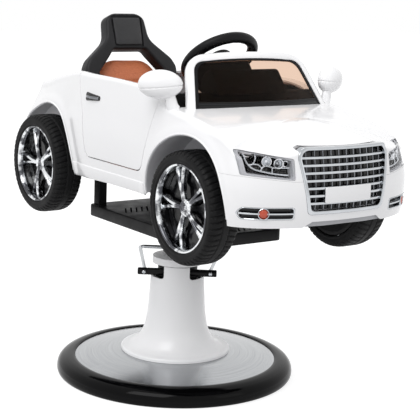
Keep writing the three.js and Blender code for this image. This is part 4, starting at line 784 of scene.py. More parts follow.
def arch_flare(y, z):
    """Rise of the lips round the wheel arches: full at the arch's edge, and faded out by
    a smooth step further outside it."""
    rise = 0.0
    for end, axle_y in AXLE_Y.items():
        beyond = np.hypot(y - axle_y, z - AXLE_Z) - ARCH_RADIUS[end]
        rise = rise + LIP_RISE[end] * (1 - smoothstep(LIP_NEAR, LIP_FAR, beyond))
    return rise


def side_depth(station, z, inset=0.0):
    """How far the side lies inside the plan at a height. It draws in above the waist with
    the power 1.5 and below it with the square, and a quarter circle rounds the shoulder:
    bend * (1 - sqrt(1 - turn^2)). The lips of the arches rise out of it."""
    edge, foot = along(EDGE_HEIGHT, station) - inset, along(FOOT_HEIGHT, station)
    waist, bend = along(WAIST_HEIGHT, station), along(SHOULDER_ROUND, station)
    above = np.clip((z - waist) / (edge - bend - waist), 0, 1)
    below = np.clip((waist - z) / (waist - foot), 0, None)
    turn = np.clip((z - edge + bend) / bend, 0, 1)
    return (along(SHOULDER_DRAW, station) * above ** 1.5 + along(FOOT_DRAW, station) * below ** 2
            + bend * (1 - np.sqrt(1 - turn ** 2)) - arch_flare(plan_points(station)[1], z))


def soft_clamp(value, low, high):
    """Clamps a value, but bends into each limit by a softened ramp, s * ln(1 + e^(x/s))."""
    risen = low + SPINE_SOFT * np.logaddexp(0, (value - low) / SPINE_SOFT)
    return high - SPINE_SOFT * np.logaddexp(0, (high - risen) / SPINE_SOFT)


print("half width at the door:", plan_points(np.array([at_y(0)]))[0].round(1))

# %% [markdown]
# A rib at every station makes the whole skin. The same ribs moved inwards make its inner
# face, which is how a wall of even thickness comes about.

# %% Ribs
SIDE_STEPS, ROUND_STEPS, TOP_STEPS = 30, 9, 22
FLOOR_LEVEL = 500.0


def body_ribs(station, inset=0.0, lower=0.0, closed=True):
    """Ribs of the skin, moved inwards by inset, with the foot lowered. Rows are levels."""
    px, py = plan_points(station)
    nx, ny = plan_normals(station)
    edge, foot = along(EDGE_HEIGHT, station) - inset, along(FOOT_HEIGHT, station)
    bend = along(SHOULDER_ROUND, station)
    spine_y = soft_clamp(py, SPINE_FRONT, SPINE_REAR)
    spine_z = along(CENTRE_HEIGHT, spine_y) - inset

    def at(depth, z):
        return np.stack([np.maximum(0, px - nx * (depth + inset)),
                         py - ny * (depth + inset), z + 0 * px], -1)

    rows = []
    if closed:
        rows += [np.stack([0 * px, spine_y, 0 * px + FLOOR_LEVEL - lower], -1),
                 at(side_depth(station, foot, inset), foot - lower)]
    for k in range(SIDE_STEPS + 1):
        z = foot + (edge - bend - foot) * k / SIDE_STEPS
        rows.append(at(side_depth(station, z, inset), z))
    for k in range(1, ROUND_STEPS + 1):
        z = edge - bend * (1 - math.sin(k / ROUND_STEPS * math.pi / 2))
        rows.append(at(side_depth(station, z, inset), z))
    shoulder = rows[-1]
    for k in range(1, TOP_STEPS + 1):
        s = k / TOP_STEPS
        rows.append(np.stack([shoulder[:, 0] * (1 - s),
                              shoulder[:, 1] + (spine_y - shoulder[:, 1]) * s,
                              edge + (spine_z - edge) * math.sin(s * math.pi / 2)], -1))
    return np.array(rows)


NOSE_STATIONS, FLANK_STATIONS, TAIL_STATIONS = 40, 120, 34
STATIONS = np.concatenate([np.linspace(0, 1, NOSE_STATIONS, endpoint=False),
                           np.linspace(1, 2, FLANK_STATIONS, endpoint=False),
                           np.linspace(2, 3, TAIL_STATIONS + 1)])
SHELL_WALL, HOLLOW_DROP = 5.0, 100.0


def body_block(name, inset=0.0, lower=0.0):
    """The whole body as a closed solid: both halves of its ribs, side by side."""
    half = body_ribs(STATIONS, inset, lower)
    other = mirrored(half[:, -2:0:-1])
    return grid_object(name, np.concatenate([half, other], 1), wrap_cols=True)


def hollow(inset=SHELL_WALL):
    """The body's solid moved inwards, with its foot dropped, to cut the inside out."""
    return body_block("cutter", inset, HOLLOW_DROP)


print("stations:", len(STATIONS), "levels:", len(body_ribs(STATIONS[:2])))

# %% [markdown]
# Lamps, handles and trims lie on the skin, so they need to know where it is. The ribs
# can't be solved backwards, but they can be read like a chart: find the two stations
# that a point lies between, and interpolate. The tables do that for whole arrays.

# %% Where the surface lies
FINE = np.linspace(0, 3, 1201)
NOSE_LINE, TAIL_LINE = FINE[FINE <= 1], FINE[FINE >= 2]
FLANK_LINE = FINE[(FINE > 0.6) & (FINE < 2.95)]


def outline_rows(station, z, proud):
    """The surface's plan at each height, moved outwards: rows of x and rows of y."""
    px, py = plan_points(station)
    nx, ny = plan_normals(station)
    depth = side_depth(station, z.reshape(-1, 1)) - proud
    return px - nx * depth, py - ny * depth


def read_off(known, wanted, value):
    """Each row's value at the place where its known row, a rising one, passes a number."""
    k = np.clip((known < wanted.reshape(-1, 1)).sum(1), 1, known.shape[1] - 1)
    row = np.arange(len(k))
    low, high = known[row, k - 1], known[row, k]
    s = np.clip((wanted.ravel() - low) / np.maximum(high - low, 1e-9), 0, 1)
    return (value[row, k - 1] * (1 - s) + value[row, k] * s).reshape(wanted.shape)


def surface_at(along_y, z, inset=0.0):
    """x of the flank's surface where y and z are given, as a positive number."""
    y, z = np.broadcast_arrays(np.asarray(along_y, float), np.asarray(z, float))
    x_rows, y_rows = outline_rows(FLANK_LINE, z, -inset)
    return read_off(y_rows, y, x_rows)


def face_y(x, z, proud=0.0, rear=False):
    """y of the nose's or tail's surface at (x, z), moved outwards by proud."""
    x, z = np.broadcast_arrays(np.abs(np.asarray(x, float)), np.asarray(z, float))
    x_rows, y_rows = outline_rows(TAIL_LINE[::-1] if rear else NOSE_LINE, z, proud)
    return read_off(x_rows, x, y_rows)


def top_z(x, y):
    """Height of the body's top at (x, y): each rib's top is a straight line in plan, so
    the rib through the point is looked up first, then its rise there."""
    x, y = np.abs(np.atleast_1d(np.asarray(x, float))), np.atleast_1d(np.asarray(y, float))
    ribs = body_ribs(FINE, closed=False)
    shoulder, spine = ribs[SIDE_STEPS + ROUND_STEPS], ribs[-1]
    s = 1 - x[:, None] / np.maximum(shoulder[:, 0], 1e-6)
    line_y = shoulder[:, 1] + (spine[:, 1] - shoulder[:, 1]) * s
    gap = np.where((s >= -0.02) & (s <= 1), np.abs(line_y - y[:, None]), np.inf)
    near = gap.argmin(1)
    rise = np.sin(np.clip(s[np.arange(len(x)), near], 0, 1) * np.pi / 2)
    return shoulder[near, 2] + (spine[near, 2] - shoulder[near, 2]) * rise


print("waist half widths at y -300, 0, 300:", surface_at([-300, 0, 300], 600).round(1))

# %% [markdown]
# ## Shell, doors and bumpers
# The real shell is one blow moulding of 5 mm, and its doors and covers are trimmed from
# the same curve. Separate panels would never meet so well. So one skin is made, the outer
# solid less an inner one, and the prisms of the openings cut it.

# %% Outlines of the openings
FAR = 900.0
LINER_X, WAIST_CUT = 163.0, 640.0
DOOR_FOOT_Z, DOOR_KNEE_Z, DOOR_HEAD_Z, DOOR_HINGE_Z = 556, 657, 748, 719
DOOR_FOOT_Y, DOOR_KNEE_Y, DOOR_HEAD_Y = (-190, 62), (-224, 78), (-244, 126)
DOOR_INNER_X, DOOR_FRONT_GAP, DOOR_GAP = 190, 0.7, 2.6
FRONT_SEAM, PANEL_GAP, GRILLE_FRAME, REAR_SEAM_Z = 0.4, 0.3, 7.0, 606.0
GRILLE_Z, GRILLE_HALF = (530, 642, 655), (94, 116, 106)
FOG_Z, FOG_HALF_HEIGHT = 527.0, 13.0


def both_sides(outline, low, high):
    """The same prism on the right and on the left of the car."""
    return [prism("cutter", outline, low, high, "x"), prism("cutter", outline, -high, -low, "x")]


def arch_cutters():
    """Round cutters of the wheel arches, outside the liners' inner walls."""
    made = []
    for end, axle_y in AXLE_Y.items():
        made += both_sides(circle(ARCH_RADIUS[end], 160) + [axle_y, AXLE_Z], LINER_X, FAR)
    return made


def door_outline(front, foot, rear):
    """Side view of the door's opening as [y, z], with clearances at three edges."""
    (y0, y1), (y2, y3), (y4, y5) = [
        (low + front, high - rear) for low, high in (DOOR_FOOT_Y, DOOR_KNEE_Y, DOOR_HEAD_Y)]
    foot_z = DOOR_FOOT_Z + foot
    return rounded_profile([
        (y0, foot_z, 22), (y1, foot_z, 22), (y3, DOOR_KNEE_Z), (y5, DOOR_HEAD_Z), (y5, FAR),
        (y4, FAR), (y4, DOOR_HINGE_Z), (y2, DOOR_KNEE_Z)], steps=10)


def cockpit_cutter():
    """The cockpit's opening, drawn in towards its rear."""
    return prism("cutter", rounded_profile([
        (-205, -284), (205, -284), (205, 100, 45), (152, 308, 22), (-152, 308, 22),
        (-205, 100, 45)], steps=12), WAIST_CUT, FAR, "z")


def front_cover_outline(grow):
    """Everything below the front seam as [x, z]; the seam drops towards the grille."""
    return [(FAR, 602 + grow), (228, 602 + grow), (130, 592 + grow),
            (-130, 592 + grow), (-228, 602 + grow), (-FAR, 602 + grow), (-FAR, 0), (FAR, 0)]


def rear_cover_outline(grow):
    """Everything behind the rear axle and below the rear seam as [y, z]."""
    y, z = AXLE_Y["rear"], REAR_SEAM_Z + grow
    return [(y, 0), (FAR, 0), (FAR, z), (y, z)]


def both_halves(half):
    """An outline from its right half, from the foot up: the left half comes back down."""
    return half + [(-x, *rest) for x, *rest in half[::-1]]


def grille_outline(grow):
    """The grille's trapezoid as [x, z], grown on all sides."""
    (z0, z1, z2), (x0, x1, x2) = GRILLE_Z, GRILLE_HALF
    return rounded_profile(both_halves([
        (x0 + grow, z0 - grow, 10), (x1 + grow, z1, 8), (x2 + grow, z2 + grow, 8)]), steps=6)


def lamp_outline(grow):
    """The right headlamp's opening as [x, z], on the positive side."""
    return rounded_profile([(130 - grow, 595 - grow, 5), (228 + grow, 605 - grow, 3),
                            (228 + grow, 654 + grow, 5), (130 - grow, 638 + grow, 5)])


def fog_outline(grow):
    """The fog lamp trim's opening as [x, z]."""
    low, high = FOG_Z - FOG_HALF_HEIGHT - grow, FOG_Z + FOG_HALF_HEIGHT + grow
    return rounded_profile([(130 - grow, low, 6), (227.5, low, 6), (234 + grow, FOG_Z),
                            (227.5, high, 6), (130 - grow, high, 6)])


def tail_outline(grow):
    """The tail lamp's opening as [x, z]."""
    return rounded_profile([(92 - grow, 632 - grow, 6), (184 + grow, 632 - grow, 4),
                            (184 + grow, 672 + grow, 4), (92 - grow, 672 + grow, 6)])


print("door opening:", DOOR_HEAD_Y, "over", DOOR_FOOT_Z, "mm")

# %% [markdown]
# The front bumper is cut from the body's solid before it's made hollow, because a boolean
# finds a thin skin's crossing with a prism harder than a solid's. A notch in its chin is
# closed by a strip that lies a little deeper.

# %% The skin and its bumpers
GRILLE_BACK_Y, FOG_BACK_Y, CHIN_BACK_Y, TAIL_BACK_Y = -571, -545, -480, 404
skin = cut(body_block("skin"), [hollow()])
print("skin faces:", len(skin.data.polygons))


def nose_prism(outline, back_y=FLANK_START):
    """A cutter through the nose, from in front of it to back_y."""
    return prism("cutter", outline, -FAR, back_y, "y")


def front_cover(grow):
    """A cutter of everything in front of the front axle and below the seam."""
    return nose_prism(front_cover_outline(grow), AXLE_Y["front"])


def grille_hole():
    """A cutter for the grille and its frame."""
    return nose_prism(grille_outline(GRILLE_FRAME + PANEL_GAP), GRILLE_BACK_Y)


front_bumper = cut(body_block("front_bumper_skin"), [front_cover(0)], "INTERSECT")
cut(front_bumper, [hollow()] + arch_cutters() + [grille_hole()])
for _, side in SIDES[::-1]:
    cut(front_bumper, [nose_prism(fog_outline(PANEL_GAP) * [side, 1], FOG_BACK_Y)])
rear_bumper = cut(copy_of(skin, "rear_bumper_skin"),
                  [prism("cutter", rear_cover_outline(0), -FAR, FAR, "x")], "INTERSECT")
cut(rear_bumper, arch_cutters())

CHIN_NOTCH = both_halves([(112, 480), (108, 497), (88, 508)])
CHIN_STRIP = [(-118, 497), (118, 497), (104, 516), (-104, 516)]
cut(front_bumper, [nose_prism(CHIN_NOTCH, CHIN_BACK_Y)])
chin = cut(body_block("chin_strip", SHELL_WALL + 1), [hollow(SHELL_WALL + 5)])
cut(chin, [nose_prism(CHIN_STRIP, CHIN_BACK_Y)], "INTERSECT")
finish_piece(front_bumper, "car", "white_paint", white_paint, ["front_bumper"], 28)
finish_piece(rear_bumper, "car", "white_paint", white_paint, ["rear_bumper"], 28)
finish_piece(chin, "car", "liner_grey", lamp_edge_grey, (), 28)
print("bumper faces:", len(front_bumper.data.polygons), len(rear_bumper.data.polygons))

# %% [markdown]
# What is left of the skin is the shell and its two doors. A door needs room to swing, so
# it's cut 2.6 mm smaller than its opening at the foot and the rear, where it sweeps past
# the sill, and only 0.7 mm smaller at the hinge.

# %% Doors and shell
doors = {}
for hand, side in SIDES:
    span = (-FAR, -DOOR_INNER_X) if side < 0 else (DOOR_INNER_X, FAR)
    leaf = prism("cutter", door_outline(DOOR_FRONT_GAP, DOOR_GAP, DOOR_GAP), *span, "x")
    panel = cut(copy_of(skin, "door_panel_" + hand), [leaf], "INTERSECT")
    doors[hand] = cut(panel, [cockpit_cutter()])
    finish_piece(panel, "door_" + hand, "white_paint", white_paint, ["door_" + hand], 28)

shell = copy_of(skin, "body_skin")
cut(shell, arch_cutters() + [cockpit_cutter()]
    + both_sides(door_outline(0, 0, 0), DOOR_INNER_X, FAR)
    + [front_cover(FRONT_SEAM), prism("cutter", rear_cover_outline(FRONT_SEAM), -FAR, FAR, "x"),
       grille_hole()])
for _, side in SIDES[::-1]:
    cut(shell, [nose_prism(lamp_outline(PANEL_GAP) * [side, 1], FLANK_START + PANEL_GAP),
                prism("cutter", tail_outline(PANEL_GAP) * [side, 1], TAIL_BACK_Y, FAR, "y")])
bpy.data.objects.remove(skin)
finish_piece(shell, "car", "white_paint", white_paint, ["body_shell"], 28)
print("shell", len(shell.data.polygons), "door", len(doors["right"].data.polygons))

# %% [markdown]
# A trimmed edge of a moulding is rolled over, and it's the bright line that the eye
# follows round each wheel arch. A bevel would have to run along a ragged boolean cut. A
# thin bead, half sunk in the skin along the cut, makes the same line without one.

# %% Rolled edges
BEAD_R, BEAD_SINK = 2.6, 1.2
bead_turn = np.linspace(math.radians(2), math.radians(178), 90)
beads = []
for end, axle_y in AXLE_Y.items():
    y = axle_y + ARCH_RADIUS[end] * np.cos(bead_turn)
    z = AXLE_Z + ARCH_RADIUS[end] * np.sin(bead_turn)
    for _, side in SIDES:
        path = np.stack([side * (surface_at(y, z) - BEAD_SINK), y, z], -1)
        beads.append((capped(swept(path, circle(BEAD_R, 10), up=(side, 0, 0))), False, True))
finish_piece(join_grids("arch_rolled_edges", beads), "car", "white_paint", white_paint)
print("beads:", len(beads))

# %% [markdown]
# Behind each wheel a liner keeps the spray off the cabin: an arc over the tyre, and a
# wall on the inner side. Both are thin sheets, made as two grids with their edges joined.

# %% Wheel-arch liners
LINER_GAP, LINER_WALL, LINER_FOOT, WELL_FOOT_Z = 0.6, 3.0, 8.0, 512.0


def liner_grid(end, side, offset=0.0):
    """Sheet over a wheel: an arc about the axle, from the inner wall out to the flank."""
    r = ARCH_RADIUS[end] - LINER_GAP - offset
    start = math.asin(LINER_FOOT / r)
    turn = np.linspace(start, math.pi - start, 72)
    y, z = AXLE_Y[end] + r * np.cos(turn), AXLE_Z + r * np.sin(turn)
    outer = surface_at(y, z) - 2
    x = LINER_X + (outer - LINER_X) * np.linspace(0, 1, 12)[:, None]
    return np.stack([side * x, np.broadcast_to(y, x.shape), np.broadcast_to(z, x.shape)], -1)


def wall_grid(end, side):
    """Inner wall of a wheel well: rings of the half disc above the floor."""
    turn = np.linspace(0, math.pi, 72)
    grow = np.linspace(0, 1, 10)[:, None]
    r = ARCH_RADIUS[end] - LINER_GAP
    y = AXLE_Y[end] + r * np.cos(turn) * (0.02 + 0.98 * grow)
    z = np.maximum(AXLE_Z + r * np.sin(turn) * grow, WELL_FOOT_Z)
    return np.stack([np.full(y.shape, side * LINER_X), y, z], -1)


# The front wells take the liner painted darker: painted shade
for end, material in (("front", painted_shade_liner), ("rear", liner_grey)):
    grids = []
    for _, side in SIDES:
        arc, wall = liner_grid(end, side), wall_grid(end, side)
        inner_wall = wall + [side * LINER_WALL, 0, 0]
        grids.append((np.concatenate([arc, liner_grid(end, side, LINER_WALL)[::-1]]), True, False))
        grids.append((np.concatenate([wall, inner_wall[::-1]]), True, False))
    finish_piece(join_grids("wheel_well_liners_" + end, grids), "car", "liner_grey", material)
print("liners done")

# %% [markdown]
# ## Front face
# Frames, slabs and rods on the nose bow as the bumper does. Made flat and bent by a
# modifier, they would drift off it, so their points are laid on the nose's own curve.

# %% Pieces on the nose
FACE_TOP_Z = 650.0


def face_point(x, z, proud):
    """A point of the nose's surface at [x, z], moved outwards. Above the nose's shoulder
    it goes straight up, as the grille does."""
    return np.stack([x, face_y(x, np.minimum(z, FACE_TOP_Z), proud), z + 0 * x], -1)


def face_frame(name, inner, outer, section, side=1, count=220):
    """A frame on the nose between two outlines. Its section is pairs of how far across it
    is, from the inner outline (0) to the outer (1), and how far out."""
    a, b = outline_length(inner, count), outline_length(outer, count)
    rows = []
    for t, out in section:
        flat = a * (1 - t) + b * t
        rows.append(face_point(flat[:, 0], flat[:, 1], out) * [side, 1, 1])
    return grid_object(name, np.array(rows), wrap_rows=True, wrap_cols=True)


def face_panel(name, outline, proud, depth, rings=10, rear=False, side=1):
    """A closed slab on the nose or tail inside an outline: rings shrink to the middle."""
    edge = outline_length(outline, 120)
    centre = edge.mean(0)
    shrink = 1 - np.linspace(0, 1, rings + 1) ** 1.3
    flat = centre + (edge - centre) * shrink[:, None, None]
    layers = []
    for back in (proud, -depth):
        y = face_y(flat[..., 0], flat[..., 1], back, rear)
        layers.append(np.stack([flat[..., 0] * side, y, flat[..., 1]], -1))
    return grid_object(name, np.concatenate([layers[0][::-1], layers[1]]), wrap_cols=True)


def rods(name, paths, section, up=(0, 0, 1)):
    """One object of several closed rods with the same section."""
    return join_grids(name, [(capped(swept(path, section, up=up)), False, True)
                             for path in paths])


print("the nose at the grille's foot, mm:", face_point(0, GRILLE_Z[0], 0).round(1))

# %% [markdown]
# The grille is die-cast and chromed: a frame, seven bars bowed across the nose, and thin
# posts behind them. A picture of bars on a plate would show no depth, so each bar is a
# rod of its own, over a black box that swallows the light between them.

# %% Grille
BAR_COUNT, POST_COUNT, POST_PITCH, BAR_DEPTH, POST_DEPTH = 7, 11, 20.0, 6.0, 9.0
PLATE_BOX = (-62, 546, 62, 579)
surround = face_frame("grille_chrome_frame", grille_outline(0), grille_outline(GRILLE_FRAME), [
    (0, -12), (0, 0.6), (0.14, 1.8), (0.5, 2.2), (0.86, 1.8), (1, 0.6), (1, -12)])
finish_piece(surround, "car", "chrome", chrome, ["grille_surround"])


def grille_half(z):
    """Half width of the grille's opening at a height."""
    return np.interp(z, GRILLE_Z, GRILLE_HALF) - 0.6


bar_paths = []
for z in np.linspace(GRILLE_Z[0], GRILLE_Z[-1], BAR_COUNT + 2)[1:-1]:
    x = np.linspace(-grille_half(z), grille_half(z), 60)
    bar_paths.append(face_point(x, np.full(60, z), -BAR_DEPTH))
bars = rods("grille_bars", bar_paths, rounded_profile([
    (-3, -3.3, 1.2), (3, -2.6, 1.6), (3, 2.6, 1.6), (-3, 3.3, 1.2)]))
finish_piece(bars, "car", "chrome", chrome, ["grille"])

post_z = np.linspace(GRILLE_Z[0] + 1, GRILLE_Z[-1] - 1, 40)
post_paths = []
for x in (np.arange(POST_COUNT) - (POST_COUNT - 1) / 2) * POST_PITCH:
    z = post_z[np.abs(x) < grille_half(post_z)]
    post_paths.append(face_point(np.full(len(z), x), z, -POST_DEPTH))
posts = rods("grille_posts", post_paths, circle(1.7, 8), up=(1, 0, 0))
# The posts' darker chrome is painted shade behind the bars
finish_piece(posts, "car", "chrome", dark_chrome)

backing = face_panel("grille_dark_box", grille_outline(-0.5), -15, 18)
finish_piece(backing, "car", "black_plastic", gloss_black)
plate = face_panel("plate_blank", rounded_box(*PLATE_BOX, 4), 0.3, 2.7)
roll_edges(plate, 0.6, 2, SMOOTH_DEG, harden_normals=False)
finish_piece(plate, "car", "white_plastic", moulded_white, ["number_plate"])
print("grille:", len(bar_paths), "bars and", len(post_paths), "posts")

# %% [markdown]
# A lamp's cover and the box under it have to lie even with the nose. Bent by hand, they
# never would. Cut from the body's own solid, one layer below the other, they do.

# %% Layers under the skin
def nose_layer(name, outline, side, outer, inner):
    """The body's solid between two depths under its surface, inside an outline on the nose."""
    layer = cut(body_block(name, outer), [hollow(inner)])
    return cut(layer, [nose_prism(outline * [side, 1])], "INTERSECT")


def on_nose(grid, x, z, proud):
    """Carries a piece turned about Z onto the nose, so that its Z axis looks outwards."""
    px, py = outline_rows(NOSE_LINE, np.array([float(z)]), proud)
    near = int(np.argmin(np.abs(px[0] - abs(x))))
    nx, ny = plan_normals(NOSE_LINE)
    out = np.array([math.copysign(nx[near], x), ny[near], 0])
    upright = np.array([0, 0, 1.0])
    turn = np.stack([np.cross(upright, out), upright, out])
    return grid @ turn + [x, py[0][near], z]


def nose_strip(points, side, width, depth, count=60):
    """A flat strip along a smooth line of [x, z] on the nose."""
    line = spline(points, count)
    path = np.stack([side * line[:, 0], face_y(line[:, 0], line[:, 1], -depth), line[:, 1]], -1)
    return capped(swept(path, bar_section(width / 2, 1.5, 0.6), up=(0, -1, 0.001)))


print("the nose falls back at x = 200 by", round(float(face_y(200, 600) - face_y(0, 600))), "mm")

# %% [markdown]
# A headlamp is a clear cover over a dark box with a pale edge. In the box stand chromed
# bowls and a web of thin light strips. A picture of them on a plate would stay flat as
# the chair turns, so all of them are solids, seen through the cover.

# %% Headlamps
COVER_DEPTH, COVER_WALL, BOX_DEPTH, BOX_WALL, LAYER_GAP = 0.4, 2.4, 17.0, 2.6, 0.2
WEB_DEPTH, BOWL_DEPTH = 11.0, 8.5
LAMP_WINDOW = rounded_profile([(133, 598, 5), (217.3, 608.5, 3), (219.5, 648, 5), (133, 634.5, 5)])
LIGHT_STRIPS = [
    ([(211.4, 644), (211.4, 634), (208.2, 623.5), (200.9, 616), (189, 612), (163, 607),
      (138.2, 604.5)], 3.4),
    ([(208.2, 623.5), (201.2, 626), (196.6, 635), (195.4, 643)], 2.6),
    ([(201.2, 626), (192.5, 624.5), (187.9, 617.5), (190.7, 612.5)], 2.6),
    ([(187.9, 617.5), (181.9, 622.5), (168.8, 621)], 2.6),
    ([(168.9, 619.5), (134.8, 619.5)], 2.6), ([(170, 608), (168.9, 619.5)], 2.6)]
BOWLS = ((179, 632, 9.0), (157.3, 628, 9.0), (144, 628, 5.0))


def bowl_line(r):
    """Profile of a reflector of radius r, with a small bulb in its middle."""
    return [(0, -9), (r * 0.25, -8.6), (r * 0.3, -4.5), (r * 0.34, -8.2), (r * 0.62, -6),
            (r * 0.85, -2.2), (r, 1.2), (r + 1.4, 1.6), (r + 1.4, 0.2), (r, -3), (0, -11)]


for hand, side in SIDES:
    outline = lamp_outline(0)
    cover = nose_layer("headlamp_cover_" + hand, outline, side, COVER_DEPTH,
                       COVER_DEPTH + COVER_WALL)
    finish_piece(cover, "car", "lamp_clear", clear_lens, ["headlamp_" + hand])
    box = nose_layer("headlamp_box_" + hand, outline, side, BOX_DEPTH, BOX_DEPTH + BOX_WALL)
    finish_piece(box, "car", "black_plastic", gloss_black)
    edge = nose_layer("headlamp_edge_" + hand, outline, side,
                      COVER_DEPTH + COVER_WALL + LAYER_GAP, BOX_DEPTH - LAYER_GAP)
    cut(edge, [nose_prism(LAMP_WINDOW * [side, 1], FAR)])
    finish_piece(edge, "car", "white_plastic", lamp_edge_grey)
    bowls = [(on_nose(revolve(bowl_line(r), 48), side * x, z, -BOWL_DEPTH), False, True)
             for x, z, r in BOWLS]
    finish_piece(join_grids("headlamp_bowls_" + hand, bowls), "car", "chrome", painted_reflection_chrome)
    web = [(nose_strip(points, side, width, WEB_DEPTH), False, True)
           for points, width in LIGHT_STRIPS]
    finish_piece(join_grids("headlamp_light_strips_" + hand, web), "car", "chrome", chrome)
print("each headlamp has", len(BOWLS), "bowls and", len(LIGHT_STRIPS), "strips")

# %% [markdown]
# The fog lamps sit low in the bumper: a dark slot in a thin chromed rim, a blade across
# it, and a round lens in a ring. All of them are turned or swept, and laid on the nose.

# %% Fog lamps
FOG_X, BLADE_FROM, BLADE_TO = 191, 133, 229
FOG_RIM = [(0, -9), (0, 0.1), (0.4, 1.0), (0.8, 0.8), (1, 0.2), (1, -9.5)]
FOG_LENS = [(0, 3.6), (4, 3.4), (7.5, 2.4), (9.4, 0.6), (9.6, -2), (9.4, -9), (0, -9)]
FOG_RING = [(9.7, -8), (9.7, 2.2), (10.6, 3.4), (11.9, 2.4), (12, -8)]
for hand, side in SIDES:
    outline = fog_outline(0)
    trim = face_frame("fog_trim_frame_" + hand, fog_outline(-2.6), outline, FOG_RIM, side, 160)
    finish_piece(trim, "car", "chrome", chrome, ["fog_trim_" + hand])
    slot = face_panel("fog_slot_box_" + hand, outline, -7.5, 10, side=side)
    finish_piece(slot, "car", "black_plastic", gloss_black)
    line = face_point(np.linspace(BLADE_FROM, BLADE_TO, 40), np.full(40, FOG_Z), -0.5)
    blade = rods("fog_blade_" + hand, [line * [side, 1, 1]], bar_section(2.5, 1.7, 0.8))
    finish_piece(blade, "car", "chrome", chrome)
    lens = grid_object("fog_lens_" + hand, on_nose(revolve(FOG_LENS, 48), side * FOG_X, FOG_Z, 0),
                       wrap_cols=True)
    finish_piece(lens, "car", "amber_lens", amber_lens, ["fog_lamp_" + hand])
    ring = grid_object("fog_ring_" + hand, on_nose(revolve(FOG_RING, 64), side * FOG_X, FOG_Z, 0),
                       wrap_rows=True, wrap_cols=True)
    finish_piece(ring, "car", "chrome", chrome)
print("fog lamps done")

# %% [markdown]
# The tail lamps are one red lens each, flush with the tail. The photograph doesn't show
# them, so they stay plain.

# %% Tail lamps
for hand, side in SIDES:
    lamp = face_panel("tail_lens_" + hand, tail_outline(0), -0.4, 14, rear=True, side=side)
    finish_piece(lamp, "car", "red_lens", red_lens, ["tail_lamp_" + hand])
print("tail lamps done")

# %% [markdown]
# ## Windscreen, mirrors and handles
# The windscreen is a bowed pane in a moulded frame. A flat sheet could be bent by a
# modifier, but frame, seal and pane must keep to each other. So all of them follow one
# function of two parameters: across from side to side, and up from the foot to the head.

# %% The pane's surface
FOOT_HALF, HEAD_HALF, FOOT_BOW, HEAD_BOW, HEAD_CROWN = 178.0, 149.0, 30.0, 12.0, 8.0
(FOOT_Y, FOOT_Z), (HEAD_Y, HEAD_Z) = (-306.0, 716.0), (-253.0, 808.0)
SCREEN_HEIGHT = math.hypot(HEAD_Y - FOOT_Y, HEAD_Z - FOOT_Z)
THROUGH = np.array([0, HEAD_Z - FOOT_Z, FOOT_Y - HEAD_Y]) / SCREEN_HEIGHT


def screen_half(t):
    """Half width of the pane at t, the share of its height from its foot."""
    return FOOT_HALF + (HEAD_HALF - FOOT_HALF) * t


def screen_points(x, t, depth, wide=0.0):
    """A point at x across and t up. It bows forwards with 1 - s^2, where s is x over the
    half width, and goes depth through the pane, towards the cabin."""
    bow = 1 - np.clip(x / (screen_half(t) + wide), -1, 1) ** 2
    foot_y, head_y = FOOT_Y - FOOT_BOW * bow, HEAD_Y - HEAD_BOW * bow
    y = foot_y + (head_y - foot_y) * t
    z = FOOT_Z + (HEAD_Z + HEAD_CROWN * bow - FOOT_Z) * t
    return np.stack([x, y, z], -1) + np.full(x.shape, depth)[..., None] * THROUGH


def screen_arch(grow, foot_t, corner, count=160):
    """The opening's edge as [x, t]: up one side, over the head with round corners, down."""
    top = 1 + grow / SCREEN_HEIGHT
    foot_x, head_x = screen_half(foot_t) + grow, screen_half(top) + grow
    arch = evenly(rounded_profile([
        (-foot_x, foot_t * SCREEN_HEIGHT), (-head_x, top * SCREEN_HEIGHT, corner),
        (head_x, top * SCREEN_HEIGHT, corner), (foot_x, foot_t * SCREEN_HEIGHT)],
        closed=False, steps=12), count)
    return arch / [1, SCREEN_HEIGHT]


def screen_band(name, inner, outer, section, wide=0.0):
    """A strip between two edges of [x, t]. Its section is pairs of how far across it is
    and how deep."""
    rows = [screen_points(*(inner + (outer - inner) * mix).T, depth, wide)
            for mix, depth in section]
    return grid_object(name, capped(np.array(rows).transpose(1, 0, 2)), wrap_cols=True)


def slab(name, front, rear):
    """Closes two matching open grids round their four edges."""
    rows, cols = front.shape[:2]
    faces = grid_faces(rows, cols)
    count = rows * cols
    index = np.arange(count).reshape(rows, cols)
    rim = np.concatenate([index[:-1, 0], index[-1, :-1], index[:0:-1, -1], index[0, :0:-1]])
    after = np.roll(rim, -1)
    sides = np.stack([rim, after, after + count, rim + count], 1)
    points = np.concatenate([front.reshape(-1, 3), rear.reshape(-1, 3)])
    return make_object(name, points, np.concatenate([faces, faces[:, ::-1] + count, sides]))


def screen_sheet(name, low, high, levels, near, far, trim=0.0):
    """A sheet of the pane's shape between two levels and two depths."""
    across, up = np.meshgrid(np.linspace(-1, 1, 61), np.linspace(low, high, levels), indexing="ij")
    x = across * (screen_half(up) - trim)
    return slab(name, screen_points(x, up, near), screen_points(x, up, far))


print("pane height along its slope:", round(SCREEN_HEIGHT, 1), "mm")

# %% [markdown]
# The frame is white and thick, with a rounded outer edge. Between it and the pane sits a
# black rubber seal, which draws the dark line in the photograph. Two fine lines cross the
# pane's foot, where the wiper would park.

